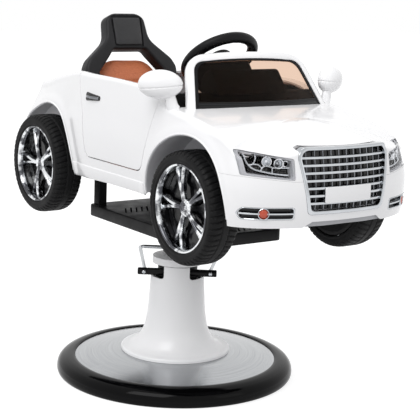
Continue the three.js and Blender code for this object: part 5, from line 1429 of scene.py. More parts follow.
# %% Windscreen
FRAME_WIDTH, FRAME_FOOT, PANE_FOOT = 16.0, -0.09, -0.06
FRAME_SECTION = [(0, 15.5), (0, 2.4), (0.1, 0.8), (0.5, 0.0), (0.88, 1.2), (1, 4.2), (1, 13),
                 (0.9, 15.5)]
SEAL_SECTION = [(0, 2.9), (0, 1.0), (0.5, 0.6), (1, 1.6), (1, 2.9)]
screen_frame = screen_band("windscreen_moulding", screen_arch(-1.0, FRAME_FOOT, 24),
                           screen_arch(FRAME_WIDTH, FRAME_FOOT, 44), FRAME_SECTION, FRAME_WIDTH)
finish_piece(screen_frame, "car", "white_paint", white_paint, ["windscreen_frame"], 40)
pane = screen_sheet("windscreen_pane", PANE_FOOT, 0.998, 30, 3, 8)
finish_piece(pane, "car", "smoked_pane", tinted_pane, ["windscreen"])

seal_edge = np.stack([screen_arch(-11.0, PANE_FOOT, 24)[:, 0],
                      screen_arch(-4.5, PANE_FOOT, 24)[:, 1]], 1)
seal = screen_band("windscreen_rubber_seal", screen_arch(-0.4, PANE_FOOT, 24), seal_edge,
                   SEAL_SECTION)
finish_piece(seal, "car", "black_plastic", black_abs, (), 40)
cowl = screen_sheet("windscreen_foot_strip", PANE_FOOT, 0.085, 6, 1.6, 3, 0.5)
finish_piece(cowl, "car", "black_plastic", gloss_black)
foot_lines = []
for t in (0.035, 0.066):
    x = np.linspace(-1, 1, 50) * (170 - 38 * t)
    foot_lines.append(screen_points(x, np.full(50, t), 1.4))
finish_piece(rods("windscreen_foot_lines", foot_lines, circle(0.9, 8)), "car", "black_plastic",
             soft_charcoal)
print("windscreen done")

# %% [markdown]
# A mirror's housing is a fat ellipsoid with a parting line, cut flat at the back for the
# glass. A sphere could be scaled, but then its line and its flat would need booleans,
# and in the formula they are one term each. It stands on a stem that flows into the body.

# %% Mirrors
MIRROR_HALF, MIRROR_FLAT_Y, MIRROR_SPOT = (49, 28, 32), 17, (242, -265, 761)
MIRROR_TURN = math.radians(30)
STEM_FOOT, STEM_R, STEM_STEPS = (214, -281), 11, 24


def mirror_grid():
    """Ellipsoid x = 49 c cos a, y = 28 c sin a, z = 32 s, flattened where y passes 17."""
    up_turn = np.linspace(-np.pi / 2, np.pi / 2, 73)[:, None]
    turn = np.linspace(0, 2 * np.pi, 96, endpoint=False)[None, :]
    x = MIRROR_HALF[0] * np.cos(up_turn) * np.cos(turn)
    y = MIRROR_HALF[1] * np.cos(up_turn) * np.sin(turn)
    z = MIRROR_HALF[2] * np.sin(up_turn) + 0 * turn
    groove = np.exp(-((z + 5 + 0.1 * x) / 1.1) ** 2) * (y < MIRROR_FLAT_Y - 3)
    shrink = 1 - 0.05 * groove
    x, z = x * shrink, z * (1 - 0.004 * groove)
    y = np.where(y > MIRROR_FLAT_Y, MIRROR_FLAT_Y + (y - MIRROR_FLAT_Y) * 0.08, y * shrink)
    return np.stack([x, y, z], -1)


def turned_about_z(points, angle):
    """x' = x cos a - y sin a, y' = x sin a + y cos a."""
    c, s = math.cos(angle), math.sin(angle)
    x, y, z = points[..., 0], points[..., 1], points[..., 2]
    return np.stack([x * c - y * s, x * s + y * c, z], -1)


def mirror_piece(name, grid, side):
    """A closed grid turned as the mirrors are, and set beside the windscreen."""
    placed = (turned_about_z(grid, MIRROR_TURN) + MIRROR_SPOT) * [side, 1, 1]
    return grid_object(name, placed, wrap_cols=True)


glass = revolve([(0, 18.4), (0.96, 18.4), (1, 17.6), (1, 16), (0, 16)], 64)
glass = np.stack([glass[..., 0] * 35, glass[..., 2], glass[..., 1] * 21.5], -1)
stem_foot_z = float(top_z(*STEM_FOOT)[0]) - 5
stem_line = spline([(*STEM_FOOT, stem_foot_z), (219, -280, stem_foot_z + 9), (226, -277, 742),
                    (234, -272, 754)], STEM_STEPS)
for hand, side in SIDES:
    housing = mirror_piece("mirror_housing_" + hand, mirror_grid(), side)
    finish_piece(housing, "car", "white_paint", white_paint, ["mirror_" + hand], 50)
    finish_piece(mirror_piece("mirror_glass_" + hand, glass, side), "car", "chrome", mirror_glass)
    stem = swept(stem_line * [side, 1, 1], circle(STEM_R, 24, 0.72), up=(0, 1, 0),
                 scale=np.linspace(1.35, 0.9, STEM_STEPS))
    finish_piece(grid_object("mirror_stem_" + hand, capped(stem), wrap_cols=True), "car",
                 "white_paint", white_paint)
print("mirrors done")

# %% [markdown]
# A handle is a dark cup with a chromed pull across it. The cup lies on the flank as a
# panel that is thickest in its middle, and the pull is an oval rod that bows off it.

# %% Door handles
CUP_OUTLINE = rounded_profile([(-1.5, 697, 3), (65.5, 691.5, 8), (65.5, 712.5, 8), (-1.5, 707, 3)])
PULL_FROM, PULL_TO, PULL_Z, PULL_LIFT = 4, 60, 702.0, 5.2


def flank_point(y, z, out, side):
    """A point of the flank at (y, z), moved outwards."""
    return np.stack([side * (surface_at(y, z) + out), y, z + 0 * y], -1)


def flank_panel(name, outline, proud, depth, side, rings=8, dome=0.0):
    """A closed slab on the flank inside a [y, z] outline, domed towards its middle."""
    edge = outline_length(outline, 96)
    centre = edge.mean(0)
    shrink = np.sqrt(np.linspace(0, 1, rings + 1))
    layers = []
    for out, order, rise in ((proud, shrink, dome), (-depth, shrink[::-1], 0)):
        for k in order:
            y, z = (centre + (edge - centre) * k).T
            layers.append(flank_point(y, z, out + rise * (1 - k ** 2), side))
    return grid_object(name, np.array(layers), wrap_cols=True)


for hand, side in SIDES:
    cup = flank_panel("door_handle_plate_" + hand, CUP_OUTLINE, 1.4, 1.0, side, dome=0.8)
    finish_piece(cup, "door_" + hand, "black_plastic", gloss_black, ["door_handle_" + hand])
    bow = 1.5 + PULL_LIFT * np.sin(np.linspace(0, np.pi, 40)) ** 0.55
    path = flank_point(np.linspace(PULL_FROM, PULL_TO, 40), PULL_Z, bow, side)
    pull = rods("door_handle_pull_" + hand, [path], circle(1.9, 16, 1.6))
    finish_piece(pull, "door_" + hand, "chrome", dark_chrome)
print("door handles done")

# %% [markdown]
# Under each door runs a sill, a shallow box section that stiffens the shell's lower edge
# and throws a line of light. Inside, each door carries a thin dark lining.

# %% Sills and linings
SILL_FRONT_Y, SILL_REAR_Y, SILL_TOP_Z = -201.0, 141.0, 534.0
SILL_FOOT = [SILL_FRONT_Y, -41, 130, SILL_REAR_Y], [505, 505, 499, 499]
SILL_SECTION = [(0.0, 0.0), (0.06, 1.8), (0.16, 2.4), (0.8, 2.4), (0.94, 1.6), (1.0, 0.0),
                (1.0, -3.0), (0.0, -3.0)]
LINING_OUTLINE = rounded_profile([
    (-178, 566, 16), (52, 566, 16), (68, 657), (106, 734, 8), (-140, 736, 12), (-204, 722, 8),
    (-228, 708, 6), (-212, 657)])
sill_y = np.linspace(SILL_FRONT_Y, SILL_REAR_Y, 70)
sill_drop = np.interp(sill_y, *SILL_FOOT) - SILL_TOP_Z
for hand, side in SIDES:
    layers = [flank_point(sill_y, SILL_TOP_Z + sill_drop * share, proud, side)
              for share, proud in SILL_SECTION]
    sill = grid_object("sill_moulding_" + hand, capped(np.array(layers).transpose(1, 0, 2)),
                       wrap_cols=True)
    finish_piece(sill, "car", "white_paint", white_paint, (), 24)
    lining = flank_panel("door_lining_" + hand, LINING_OUTLINE, -5.8, 7.8, side)
    finish_piece(lining, "door_" + hand, "black_plastic", hood_black, (), 40)
print("sills and linings done")

# %% [markdown]
# ## Wheels
# A tyre is turned from its section and then treaded: the same grid is pushed in where the
# grooves run. An array of modelled blocks would look the same and cost far more faces.
# The blocks repeat round the tyre and lean across it, as a real mould cuts them.

# %% Tyres
WHEEL_X, TREAD_BLOCKS, BLOCK_COLUMNS, GROOVE_DEPTH = 213.0, 56, 8, 2.4
TYRE_HALF = [(97.7, 34), (98.4, 36.6, 1), (101.5, 38, 2), (106, 37.3, 2), (108.5, 38, 1),
             (116.5, 37.6, 6), (123.5, 31, 7), (125.6, 20, 8)]


def stand_wheel(grid, side, axle_y):
    """Lays a piece turned about Z on its side, with its outer face away from the car."""
    x, y, z = grid[..., 0], grid[..., 1], grid[..., 2]
    return np.stack([side * z, y, -side * x], -1) + [side * WHEEL_X, axle_y, AXLE_Z]


def tyre_grid():
    """Section of bead, sidewall, shoulder and tread; the grooves go in along its normal,
    and fade out over the shoulder."""
    corners = TYRE_HALF + [(r, -z, *rest) for r, z, *rest in TYRE_HALF[::-1]]
    r, z = evenly(rounded_profile(corners, closed=False, steps=6), 96).T
    a = np.linspace(0, 2 * np.pi, TREAD_BLOCKS * BLOCK_COLUMNS, endpoint=False)[None, :]
    slope_r, slope_z = np.gradient(r), np.gradient(z)
    size = np.hypot(slope_r, slope_z)
    lean = np.where(np.abs(z) > 4, np.abs(z) * 0.0168, 0)[:, None]
    phase = (a / (2 * np.pi) * TREAD_BLOCKS + np.sign(z)[:, None] * 0.25 + lean) % 1
    lateral = smoothstep(0.30, 0.42, np.abs(phase - 0.5))
    rings = np.exp(-((np.abs(z) - 9) / 1.3) ** 2)[:, None]
    zone = smoothstep(113.5, 118.5, r)[:, None] * (np.abs(z) > 6)[:, None]
    depth = GROOVE_DEPTH * np.maximum(lateral * zone, rings * (r > 120)[:, None])
    r2 = r[:, None] + (slope_z / size)[:, None] * depth
    z2 = z[:, None] - (slope_r / size)[:, None] * depth
    return np.stack([r2 * np.cos(a), r2 * np.sin(a), z2], -1)


WHEELS = [("%s_%s" % (end, hand), side, axle_y) for end, axle_y in AXLE_Y.items()
          for hand, side in SIDES]
tread = tyre_grid()
for wheel, side, axle_y in WHEELS:
    tyre = grid_object("tyre_treaded_" + wheel, stand_wheel(tread, side, axle_y),
                       wrap_rows=True, wrap_cols=True)
    finish_piece(tyre, "wheel_" + wheel, "tyre_black", tyre_rubber, ["tyre_" + wheel], 40)
print("tyre faces:", len(tyre.data.polygons))

# %% [markdown]
# The rims are chromed plastic with five forked spokes. A spoke could be cut out of a
# disc, but the mould dishes and crowns it. So each fork is a pair of crowned blades that
# leave the hub together and part towards the lip, over a dark disc.

# %% Rims
SPOKE_TURN, SPOKE_COUNT, FORK_SPREAD = math.radians(18), 5, math.radians(8.5)
BLADE_START_R, BLADE_END_R, NUT_R = 15.0, 92.5, 14.0
BLADE_SECTION = np.array([(-1, -7), (-1, 1.0), (-0.72, 3.4), (-0.3, 4.6), (0, 4.9), (0.3, 4.6),
                          (0.72, 3.4), (1, 1.0), (1, -7)])
RIM_LIP = rounded_profile([
    (88.6, 24, 1), (89.6, 29, 3), (91.2, 33.4, 2), (93.4, 36, 2), (96.8, 35.6, 1), (97.3, 33),
    (97.3, -28), (92.4, -28), (92.0, 18, 3)])
RIM_HUB = rounded_profile([
    (0, 25.6), (6.5, 25.2, 1), (7.4, 22.6, 1), (10.5, 22.6, 1), (12, 24.6, 1), (16, 24.4, 2),
    (19.6, 21.5, 3), (20, 14), (20, -28), (0, -28)], closed=False)
NUT_LINE = [(0, 25.6), (1.2, 25.6), (1.7, 25.0), (1.7, 23.4), (0, 23.4)]
DISC_LINE = [(20.5, 6), (44, 5), (60, 7.5), (91, 4.5), (91, 1), (20.5, 1)]
INNER_COVER = rounded_profile([(12, -33), (60, -33, 8), (90, -36.5, 4), (97, -35, 2), (97, -29),
                               (12, -29)])


def blade(path, half_width, section):
    """A flat section, as wide as half_width says, carried along a path that lies level."""
    ahead = np.gradient(path, axis=0)
    across = np.cross(ahead, [0, 0, 1.0])
    across /= np.linalg.norm(across, axis=1)[:, None]
    return (path[:, None] + across[:, None] * (section[None, :, :1] * half_width[:, None, None])
            + np.array([0, 0, 1.0]) * section[None, :, 1:])


def spoke_grid(turn, spread):
    """Half a fork: it parts from the middle line by the spread, and is dished by 4 mm."""
    t = np.linspace(0, 1, 22)
    r = BLADE_START_R + (BLADE_END_R - BLADE_START_R) * t
    angle = turn + spread * (0.22 + 0.78 * t)
    path = np.stack([r * np.cos(angle), r * np.sin(angle),
                     20.5 - 5 * t + 2.2 * np.sin(t * np.pi)], -1)
    half_width = 5.6 - 1.3 * np.sin(np.pi * np.minimum(t * 1.15, 1)) + 0.9 * t ** 4
    return blade(path, half_width, BLADE_SECTION)


rim_parts = [(revolve(RIM_LIP, 144), True, True), (revolve(RIM_HUB, 72), False, True)]
for turn in SPOKE_TURN + np.arange(SPOKE_COUNT) * 2 * np.pi / SPOKE_COUNT:
    for way in (-1, 1):
        rim_parts.append((capped(spoke_grid(turn, way * FORK_SPREAD)), False, True))
    spot = turn + np.pi / SPOKE_COUNT
    shift = [NUT_R * math.cos(spot), NUT_R * math.sin(spot), 0]
    rim_parts.append((revolve(NUT_LINE, 6) + shift, False, True))
for wheel, side, axle_y in WHEELS:
    laid = [(stand_wheel(grid, side, axle_y), *wraps) for grid, *wraps in rim_parts]
    rim = join_grids("rim_forked_" + wheel, laid)
    finish_piece(rim, "wheel_" + wheel, "chrome", painted_reflection_chrome, ["rim_" + wheel], 40)
    for name, line, material in (("rim_back_disc_", DISC_LINE, gloss_black),
                                 ("wheel_inner_cover_", INNER_COVER, black_abs)):
        disc = grid_object(name + wheel, stand_wheel(revolve(line, 96), side, axle_y),
                           wrap_rows=True, wrap_cols=True)
        finish_piece(disc, "wheel_" + wheel, "black_plastic", material)
print("rim faces:", len(rim.data.polygons))

# %% [markdown]
# ## Cabin
# The backrest and the headrest lean back by 19 degrees. A turned object would do, but a
# finished piece has its place in its mesh. So both are drawn upright, with x across, y up
# the slope and z forwards, and their points are then laid on the leaning plane.

# %% Leaning plane
LEAN, LEAN_Y, LEAN_Z, BOARD_HALF, SEAT_Z = math.radians(19), 194, 572, 20, 556.3


def lean_back(points):
    """y = 194 + up sin 19 - forwards cos 19, z = 572 + up cos 19 + forwards sin 19."""
    x, up, ahead = points[..., 0], points[..., 1], points[..., 2]
    return np.stack([x, LEAN_Y + up * math.sin(LEAN) - ahead * math.cos(LEAN),
                     LEAN_Z + up * math.cos(LEAN) + ahead * math.sin(LEAN)], -1)


def up_front(z):
    """Distance up the slope of a height above the floor, on the headrest's front face."""
    return (z - LEAN_Z - BOARD_HALF * math.sin(LEAN)) / math.cos(LEAN)


def read_points(mesh):
    """The places of all vertices, as one array."""
    flat = np.empty(len(mesh.vertices) * 3)
    mesh.vertices.foreach_get("co", flat)
    return flat.reshape(-1, 3)


def move_points(obj, how):
    """Sends every vertex of a piece through a function of an array of millimetres."""
    obj.data.vertices.foreach_set("co", (how(read_points(obj.data) / MM) * MM).ravel())
    obj.data.update()
    return obj


print("the headrest's top is", round(up_front(890)), "mm up the slope")

# %% [markdown]
# The headrest is a frame with arms that run down beside the backrest. It's moulded with
# soft-touch lacquer and well-rolled edges. It's cut from one rounded board, because a
# board keeps its thickness at every bend, which a swept rod would not.

# %% Headrest frame
FRAME_EDGE = both_halves([(137, -80), (137, up_front(756), 8), (125, up_front(776), 8),
                          (64, up_front(824), 18), (57, up_front(878), 13),
                          (37, up_front(890), 13)])
HOLE_EDGE = both_halves([(100, -90), (100, up_front(742)), (62, up_front(783), 6),
                         (49, up_front(799), 7)])
POCKET_EDGE = both_halves([(43, up_front(805) - 1.5, 7), (47, up_front(882) + 1.5, 9)])
board = prism("headrest_board", rounded_profile(FRAME_EDGE, steps=8), -BOARD_HALF, BOARD_HALF, "z")
cut(board, [prism("cutter", rounded_profile(HOLE_EDGE, steps=6), -90, 90, "z")])
roll_edges(board, 8, 5, use_clamp_overlap=False)
cut(board, [prism("cutter", rounded_profile(POCKET_EDGE, steps=6), 15.5, 90, "z")])
move_points(board, lean_back)
cut(board, [prism("cutter", [(-300, -300), (300, -300), (300, 500), (-300, 500)], 0, SEAT_Z, "z")])
finish_piece(board, "car", "black_plastic", soft_charcoal, ["headrest_frame"], 35)
print("headrest frame:", len(board.data.polygons), "faces")

# %% [markdown]
# ## Upholstery
# A cushion is foam in a sewn cover, and foam pushes its cover round wherever no seam
# holds it. A subdivided box looks inflated but never tight. So a cushion starts as a
# crowned pillow, smaller than it will end, and cloth simulation blows it up a little. No
# point may move further than a cap, so it can't leave its place in the car.

# %% Pillow and cloth
VOXEL_M = 0.005
CLOTH_FRAMES = 20


def pillow(name, outline, thickness, crown, count=180):
    """Closed pillow on z = 0: flat below, a rounded side that bulges at 0.45 of the
    height, and a crown that falls with the power 2.4 of the way to the edge."""
    edge = outline_length(outline, count)
    centre = edge.mean(0)
    rings = [(s, 0.0) for s in np.linspace(0, 0.965, 9)]
    side = np.linspace(0, 1, 10)[1:]
    rings += [(0.965 + 0.035 * math.sin(math.pi * t ** 0.8) ** 0.7 - 0.02 * t,
               thickness * 0.86 * t - crown * 0.55 * t) for t in side]
    last = rings[-1]
    for t in np.linspace(0, 1, 14)[1:]:
        s = last[0] * (1 - t)
        rings.append((s, thickness - (thickness - last[1]) * (1 - t) ** 2.4))
    grid = np.array([np.concatenate([centre + (edge - centre) * s, np.full((count, 1), z)], 1)
                     for s, z in rings])
    return grid_object(name, grid, wrap_cols=True)


def stuffed(obj, cap_mm, pressure=4.0):
    """Remeshes a pillow, inflates it as cloth, caps how far each point moves, and leaves
    a plain mesh."""
    modify(obj, "REMESH", mode="VOXEL", voxel_size=VOXEL_M, use_smooth_shade=True)
    bake(obj)
    start = read_points(obj.data)
    cloth = modify(obj, "CLOTH")
    for key, value in dict(use_pressure=True, uniform_pressure_force=pressure,
                           tension_stiffness=18, bending_stiffness=0.4).items():
        setattr(cloth.settings, key, value)
    cloth.settings.effector_weights.gravity = 0
    cloth.collision_settings.use_collision = False
    cloth.point_cache.frame_start, cloth.point_cache.frame_end = 1, CLOTH_FRAMES
    scene = bpy.context.scene
    for step in range(1, CLOTH_FRAMES + 1):
        scene.frame_set(step)
    graph = bpy.context.evaluated_depsgraph_get()
    move = read_points(obj.evaluated_get(graph).to_mesh()) - start
    scene.frame_set(1)
    obj.modifiers.clear()
    far = np.linalg.norm(move, axis=1)[:, None]
    kept = move * np.minimum(1, cap_mm * MM / np.maximum(far, 1e-9))
    move_points(obj, lambda points: points + kept / MM)
    print(obj.name, "moved up to", round(float(far.max()) / MM, 1), "mm, kept to", cap_mm)
    return obj


print("cloth runs for", CLOTH_FRAMES, "frames on voxels of", VOXEL_M / MM, "mm")

# %% [markdown]
# Seams and piping come after the cloth, because a simulated seam would wander. A seam
# pulls the top in along a line, and piping is a cord sewn into the edge, so its path is
# the outline drawn to the cushion's surface and smoothed a little.

# %% Seams and piping
PIPING_RADIUS = 2.4


def fit_box(obj, low, high):
    """Scales a piece's points so that they fill a box, where they stand over it."""
    def squeeze(points):
        a, b = points.min(0), points.max(0)
        low_, high_ = np.maximum(a, low), np.minimum(b, high)
        return low_ + (points - a) / (b - a) * (high_ - low_)
    return move_points(obj, squeeze)


def sewn(points, lines, depth, width=5.0):
    """Pulls the top face in along lines of [x0, y0, x1, y1], with a rounded valley."""
    out = points.copy()
    top = smoothstep(0.35, 0.8, points[:, 2] / points[:, 2].max())
    for x0, y0, x1, y1 in lines:
        span = np.array([x1 - x0, y1 - y0])
        t = np.clip(((points[:, 0] - x0) * span[0] + (points[:, 1] - y0) * span[1])
                    / (span @ span), 0, 1)
        gap = np.hypot(points[:, 0] - x0 - t * span[0], points[:, 1] - y0 - t * span[1])
        out[:, 2] -= depth * np.exp(-(gap / width) ** 2) * top
    return out


def piping(name, cushion, outline, height, radius=PIPING_RADIUS, sink=0.6):
    """A welt round a cushion: its path is the outline, drawn to the cushion's surface."""
    graph = bpy.context.evaluated_depsgraph_get()
    surface = BVHTree.FromObject(cushion, graph)
    path = []
    for x, y in outline_length(outline, 220):
        hit, normal, _, _ = surface.find_nearest(Vector((x, y, height)) * MM)
        path.append(np.array(hit - normal * sink * MM) / MM)
    path = np.array(path)
    for _ in range(3):
        path = (np.roll(path, 1, 0) + 2 * path + np.roll(path, -1, 0)) / 4
    return grid_object(name, swept(path, circle(radius, 12), closed=True), wrap_rows=True,
                       wrap_cols=True)


print("piping is", 2 * PIPING_RADIUS, "mm thick")

# %% [markdown]
# The seat and the backrest have two upright seams and one across, and the headrest's pad
# is a thin plain one. Each is drawn flat, blown up, fitted to the room that it has, sewn,
# and then set in its place.

# %% Cushions
SEAT_OUTLINE = rounded_profile([
    (-131, -5, 30), (0, -1, 60), (131, -5, 30), (127, 80, 60), (131, 165, 30), (0, 161, 60),
    (-131, 165, 30), (-127, 80, 60)], steps=8)
BACK_OUTLINE = rounded_profile(both_halves([
    (98.5, 1, 22), (99, up_front(742), 16), (62, up_front(784), 34)]), steps=10)
PAD_OUTLINE = rounded_profile(both_halves([
    (42, up_front(805), 7), (45.5, up_front(882), 9)]), steps=8)

CUSHIONS = {
    "seat_cushion": dict(
        outline=SEAT_OUTLINE, height=46, crown=13, cap=4, pressure=4,
        box=([-132, -6, 0], [132, 166, 48]), welt=("seat_cushion_welt", 35), depth=6,
        seams=[(-52, 8, -52, 150), (52, 8, 52, 150), (-52, 24, 52, 24)],
        place=lambda points: points + [0, 0, SEAT_Z],
        cover=("tan_leather", tan_leather), node="seat_base", fill=0.75),
    "backrest_cushion": dict(
        outline=BACK_OUTLINE, height=38, crown=12, cap=4, pressure=4,
        box=([-99.5, 0, 0], [99.5, 300, 40]), welt=("backrest_welt", 28), depth=4,
        seams=[(-46, 10, -46, 150), (46, 10, 46, 150), (-46, 150, 46, 150)],
        place=lambda points: lean_back(points - [0, 0, 40]),
        cover=("tan_leather", tan_leather), node="seat_back", fill=0.75),
    "headrest_pad_skin": dict(
        outline=PAD_OUTLINE, height=8, crown=3.5, cap=1.5, pressure=1,
        box=([-45.5, up_front(805), 0], [45.5, up_front(882), 8]), welt=None, depth=0, seams=[],
        place=lambda points: lean_back(points + [0, 0, 16]),
        cover=("rubber_black", black_hide), node="headrest_pad", fill=0.6),
}
for name, plan in CUSHIONS.items():
    flat = pillow(name, plan["outline"], plan["height"], plan["crown"])
    cushion = fit_box(stuffed(flat, plan["cap"], plan["pressure"]), *plan["box"])
    move_points(cushion, lambda points: sewn(points, plan["seams"], plan["depth"]))
    if plan["welt"]:
        welt_name, height = plan["welt"]
        welt = piping(welt_name, cushion, plan["outline"], height)
        finish_piece(move_points(welt, plan["place"]), "car", *plan["cover"], (), 60)
    finish_piece(move_points(cushion, plan["place"]), "car", *plan["cover"], [plan["node"]], 60)
    modify(cushion, "SUBSURF", levels=1, render_levels=1)
print("cushions:", ", ".join(CUSHIONS))

# %% [markdown]
# ## Steering wheel and dashboard
# The steering wheel is one thick moulded ring on three spokes, tilted by 40 degrees. A
# plain torus would look bare, so its grip has finger waves, and the spokes are crowned
# blades.

# %% Steering wheel
TILT, HUB_Y, HUB_Z = math.radians(40), -146, 805
RING_R, GRIP_R, WAVE_COUNT, WAVE_DEPTH = 83, 12.9, 22, 1.2
SPOKE_SECTION = np.array([(-1, -2.6), (-1, 1.4), (-0.8, 3.2), (0, 3.8), (0.8, 3.2), (1, 1.4),
                          (1, -2.6), (0, -3.6)])
SPOKES = ((-20, 0, -74, 0), (20, 0, 74, 0), (0, 20, 0, 74))
HUB_LINE = rounded_profile([(0, 11), (20, 10.6, 4), (29, 6, 5), (30, -10.5, 3), (0, -10.8)],
                           closed=False, steps=8)
BUTTON_LINE = rounded_profile([(0, 12.4), (15, 12.0, 2), (17.4, 10.4, 2), (17.4, 9), (0, 9)],
                              closed=False)


def tilt_to_wheel(points):
    """y = -146 + v cos 40 + w sin 40, z = 805 - v sin 40 + w cos 40."""
    u, v, w = points[..., 0], points[..., 1], points[..., 2]
    return np.stack([u, HUB_Y + v * math.cos(TILT) + w * math.sin(TILT),
                     HUB_Z - v * math.sin(TILT) + w * math.cos(TILT)], -1)


def ring_grid():
    """A torus whose grip has finger waves on its inner side."""
    a = np.linspace(0, 2 * np.pi, 144, endpoint=False)[:, None]
    b = np.linspace(0, 2 * np.pi, 32, endpoint=False)[None, :]
    inner = np.clip(-np.cos(b), 0, 1) ** 2
    grip = GRIP_R - WAVE_DEPTH * inner * (0.5 + 0.5 * np.cos(a * WAVE_COUNT))
    r = RING_R + grip * np.cos(b)
    return np.stack([r * np.cos(a), r * np.sin(a), grip * np.sin(b) * 0.98], -1)


def wheel_spoke(x0, y0, x1, y1):
    """A crowned flat spoke, waisted in its middle."""
    t = np.linspace(0, 1, 20)
    path = np.stack([x0 + (x1 - x0) * t, y0 + (y1 - y0) * t, 1.2 - 2.4 * t], -1)
    return blade(path, 12.6 - 3.4 * np.sin(np.pi * t), SPOKE_SECTION)


wheel_grids = [(ring_grid(), True, True), (revolve(HUB_LINE, 72), False, True)]
wheel_grids += [(capped(wheel_spoke(*ends)), False, True) for ends in SPOKES]
steering = join_grids("steering_wheel_moulding",
                      [(tilt_to_wheel(grid), *wraps) for grid, *wraps in wheel_grids])
finish_piece(steering, "steering", "black_plastic", black_abs, ["steering_wheel"], 40)
horn = grid_object("horn_button", tilt_to_wheel(revolve(BUTTON_LINE, 64)), wrap_cols=True)
finish_piece(horn, "steering", "chrome", dark_chrome)
print("steering wheel:", len(steering.data.polygons), "faces")

# %% [markdown]
# The column stands still behind the wheel, inside a matt cowl that is drawn in the
# wheel's own plane. In front of it lie the dashboard and its hood. They are blocky
# mouldings, and a prism with rolled edges is all that they are.

# %% Column, cowl and dashboard
COLUMN_LINE = rounded_profile([(0, -11.4), (15, -11.4, 2), (17, -14, 2), (17, -100), (0, -100)],
                              closed=False)
COWL_OUTLINE = rounded_profile([(-66, -26, 22), (66, -26, 22), (74, 30, 30), (40, 68, 26),
                                (-40, 68, 26), (-74, 30, 30)], steps=8)
DASH_OUTLINE = rounded_profile([(-283.7, 664), (-208, 664, 8), (-208, 732, 9), (-240, 738, 12),
                                (-283.7, 712)], steps=8)
HOOD_OUTLINE = rounded_profile([(-283, 733), (-206, 733), (-206, 758, 12), (-226, 785, 16),
                                (-247, 788, 8), (-272, 757, 10)], steps=8)
VENT_RING = rounded_profile([(13, 0), (16.5, 0, 1), (16.5, 3, 1), (13, 3, 1)])
VENT_X, VENT_Y, VENT_Z = (-118, -78, 78, 118), -208, 700
column = grid_object("steering_column_tube", tilt_to_wheel(revolve(COLUMN_LINE, 64)),
                     wrap_cols=True)
finish_piece(column, "car", "black_plastic", black_abs, ["steering_column"])
shroud = roll_edges(prism("column_shroud", COWL_OUTLINE, -58, -18, "z"), 9, 4)
finish_piece(move_points(shroud, tilt_to_wheel), "car", "black_plastic", hood_black)
dash = roll_edges(prism("dashboard_moulding", DASH_OUTLINE, -204.7, 204.7, "x"), 3, 3)
finish_piece(dash, "car", "black_plastic", hood_black, ["dashboard"])
hood = roll_edges(prism("instrument_hood", HOOD_OUTLINE, -98, 98, "x"), 7, 4)
finish_piece(hood, "car", "black_plastic", hood_black)
vent = revolve(VENT_RING, 48)
vent = np.stack([vent[..., 0], vent[..., 2] + VENT_Y, vent[..., 1] + VENT_Z], -1)
vents = [(vent + [x, 0, 0], True, True) for x in VENT_X]
finish_piece(join_grids("dashboard_vent_rings", vents), "car", "chrome", dark_chrome)
print("dashboard with", len(vents), "vents")

# %% [markdown]
# The cabin's floor fills the car from liner to liner, and carries lugs that the axles run
# through. It's welded into one piece with a union, as the real tub is one moulding.

# %% Seat pan, floor and axles
FLOOR_Z, PAN_Z, WELL_HALF = (512, 518), (518.3, 556), {"front": 159.25, "rear": 156.4}
FLOOR_GAP, FLOOR_AT_Z, LUG_X, LUG_HALF = 5.6, 515.0, 146, 4
AXLE_LINE = [(0, -233), (5, -233), (6, -232), (6, 232), (5, 233), (0, 233)]
pan = prism("seat_pan_moulding", rounded_box(-140, -14, 140, 213, 26, steps=10), *PAN_Z, "z")
finish_piece(roll_edges(pan, 2.5, 3), "car", "black_plastic", black_abs, ["seat_pan"])


def floor_outline():
    """The floor's half width at each y, cut back to the wells' inner walls beside them."""
    y = np.unique(np.concatenate([np.linspace(-538, 430, 240)] + [
        [axle_y + way * 159.2, axle_y + way * 159.3] for axle_y in AXLE_Y.values()
        for way in (-1, 1)]))
    in_well = sum(np.abs(y - AXLE_Y[end]) < WELL_HALF[end] for end in AXLE_Y) > 0
    px, py = plan_points(FINE)
    nx, ny = plan_normals(FINE)
    inset = side_depth(FINE, np.full(FINE.shape, FLOOR_AT_Z)) + FLOOR_GAP
    half = np.where(in_well, LINER_X, np.interp(y, py - ny * inset, px - nx * inset))
    return np.concatenate([np.stack([half, y], 1), np.stack([-half, y], 1)[::-1]])


def lug(axle_y, x):
    """A plate round the axle, rounded below."""
    outline = rounded_profile([(axle_y - 16, 514), (axle_y + 16, 514), (axle_y + 16, 490, 10),
                               (axle_y - 16, 490, 10)])
    return prism("axle_lug", outline, x - LUG_HALF, x + LUG_HALF, "x")


cabin_floor = prism("cabin_floor", floor_outline(), *FLOOR_Z, "z")
cut(cabin_floor, [lug(axle_y, side * LUG_X) for axle_y in AXLE_Y.values() for _, side in SIDES],
    "UNION")
# The cabin floor takes the liner painted darker: painted shade
finish_piece(cabin_floor, "car", "liner_grey", painted_shade_liner, ["chassis_tub"])
rod = revolve(AXLE_LINE, 32)
for end, axle_y in AXLE_Y.items():
    laid = np.stack([rod[..., 2], rod[..., 0] + axle_y, rod[..., 1] + AXLE_Z], -1)
    finish_piece(grid_object("axle_rod_" + end, laid, wrap_cols=True), "car", "machined_steel",
                 machined_steel, [end + "_axle"])
print("cabin done")

# %% [markdown]
# ## Pedestal
# The base is a steel dome inside a heavy rubber ring, the kind that doesn't tip and
# doesn't mark a salon's floor. Everything on it is turned, so one profile makes each.

# %% Ring and dome
RING_LINE = rounded_profile([
    (254.3, 0.2), (296, 0, 3), (299.2, 6, 6), (300, 13, 8), (297.5, 26, 8), (289, 35.5, 8),
    (274, 41.5, 8), (261, 43, 3), (254.6, 41.8, 1)], steps=7)
DOME_R, DOME_INNER_R, DOME_EDGE_Z, DOME_RISE, DOME_RUN, DOME_WALL = 254, 80, 40, 17, 116, 3


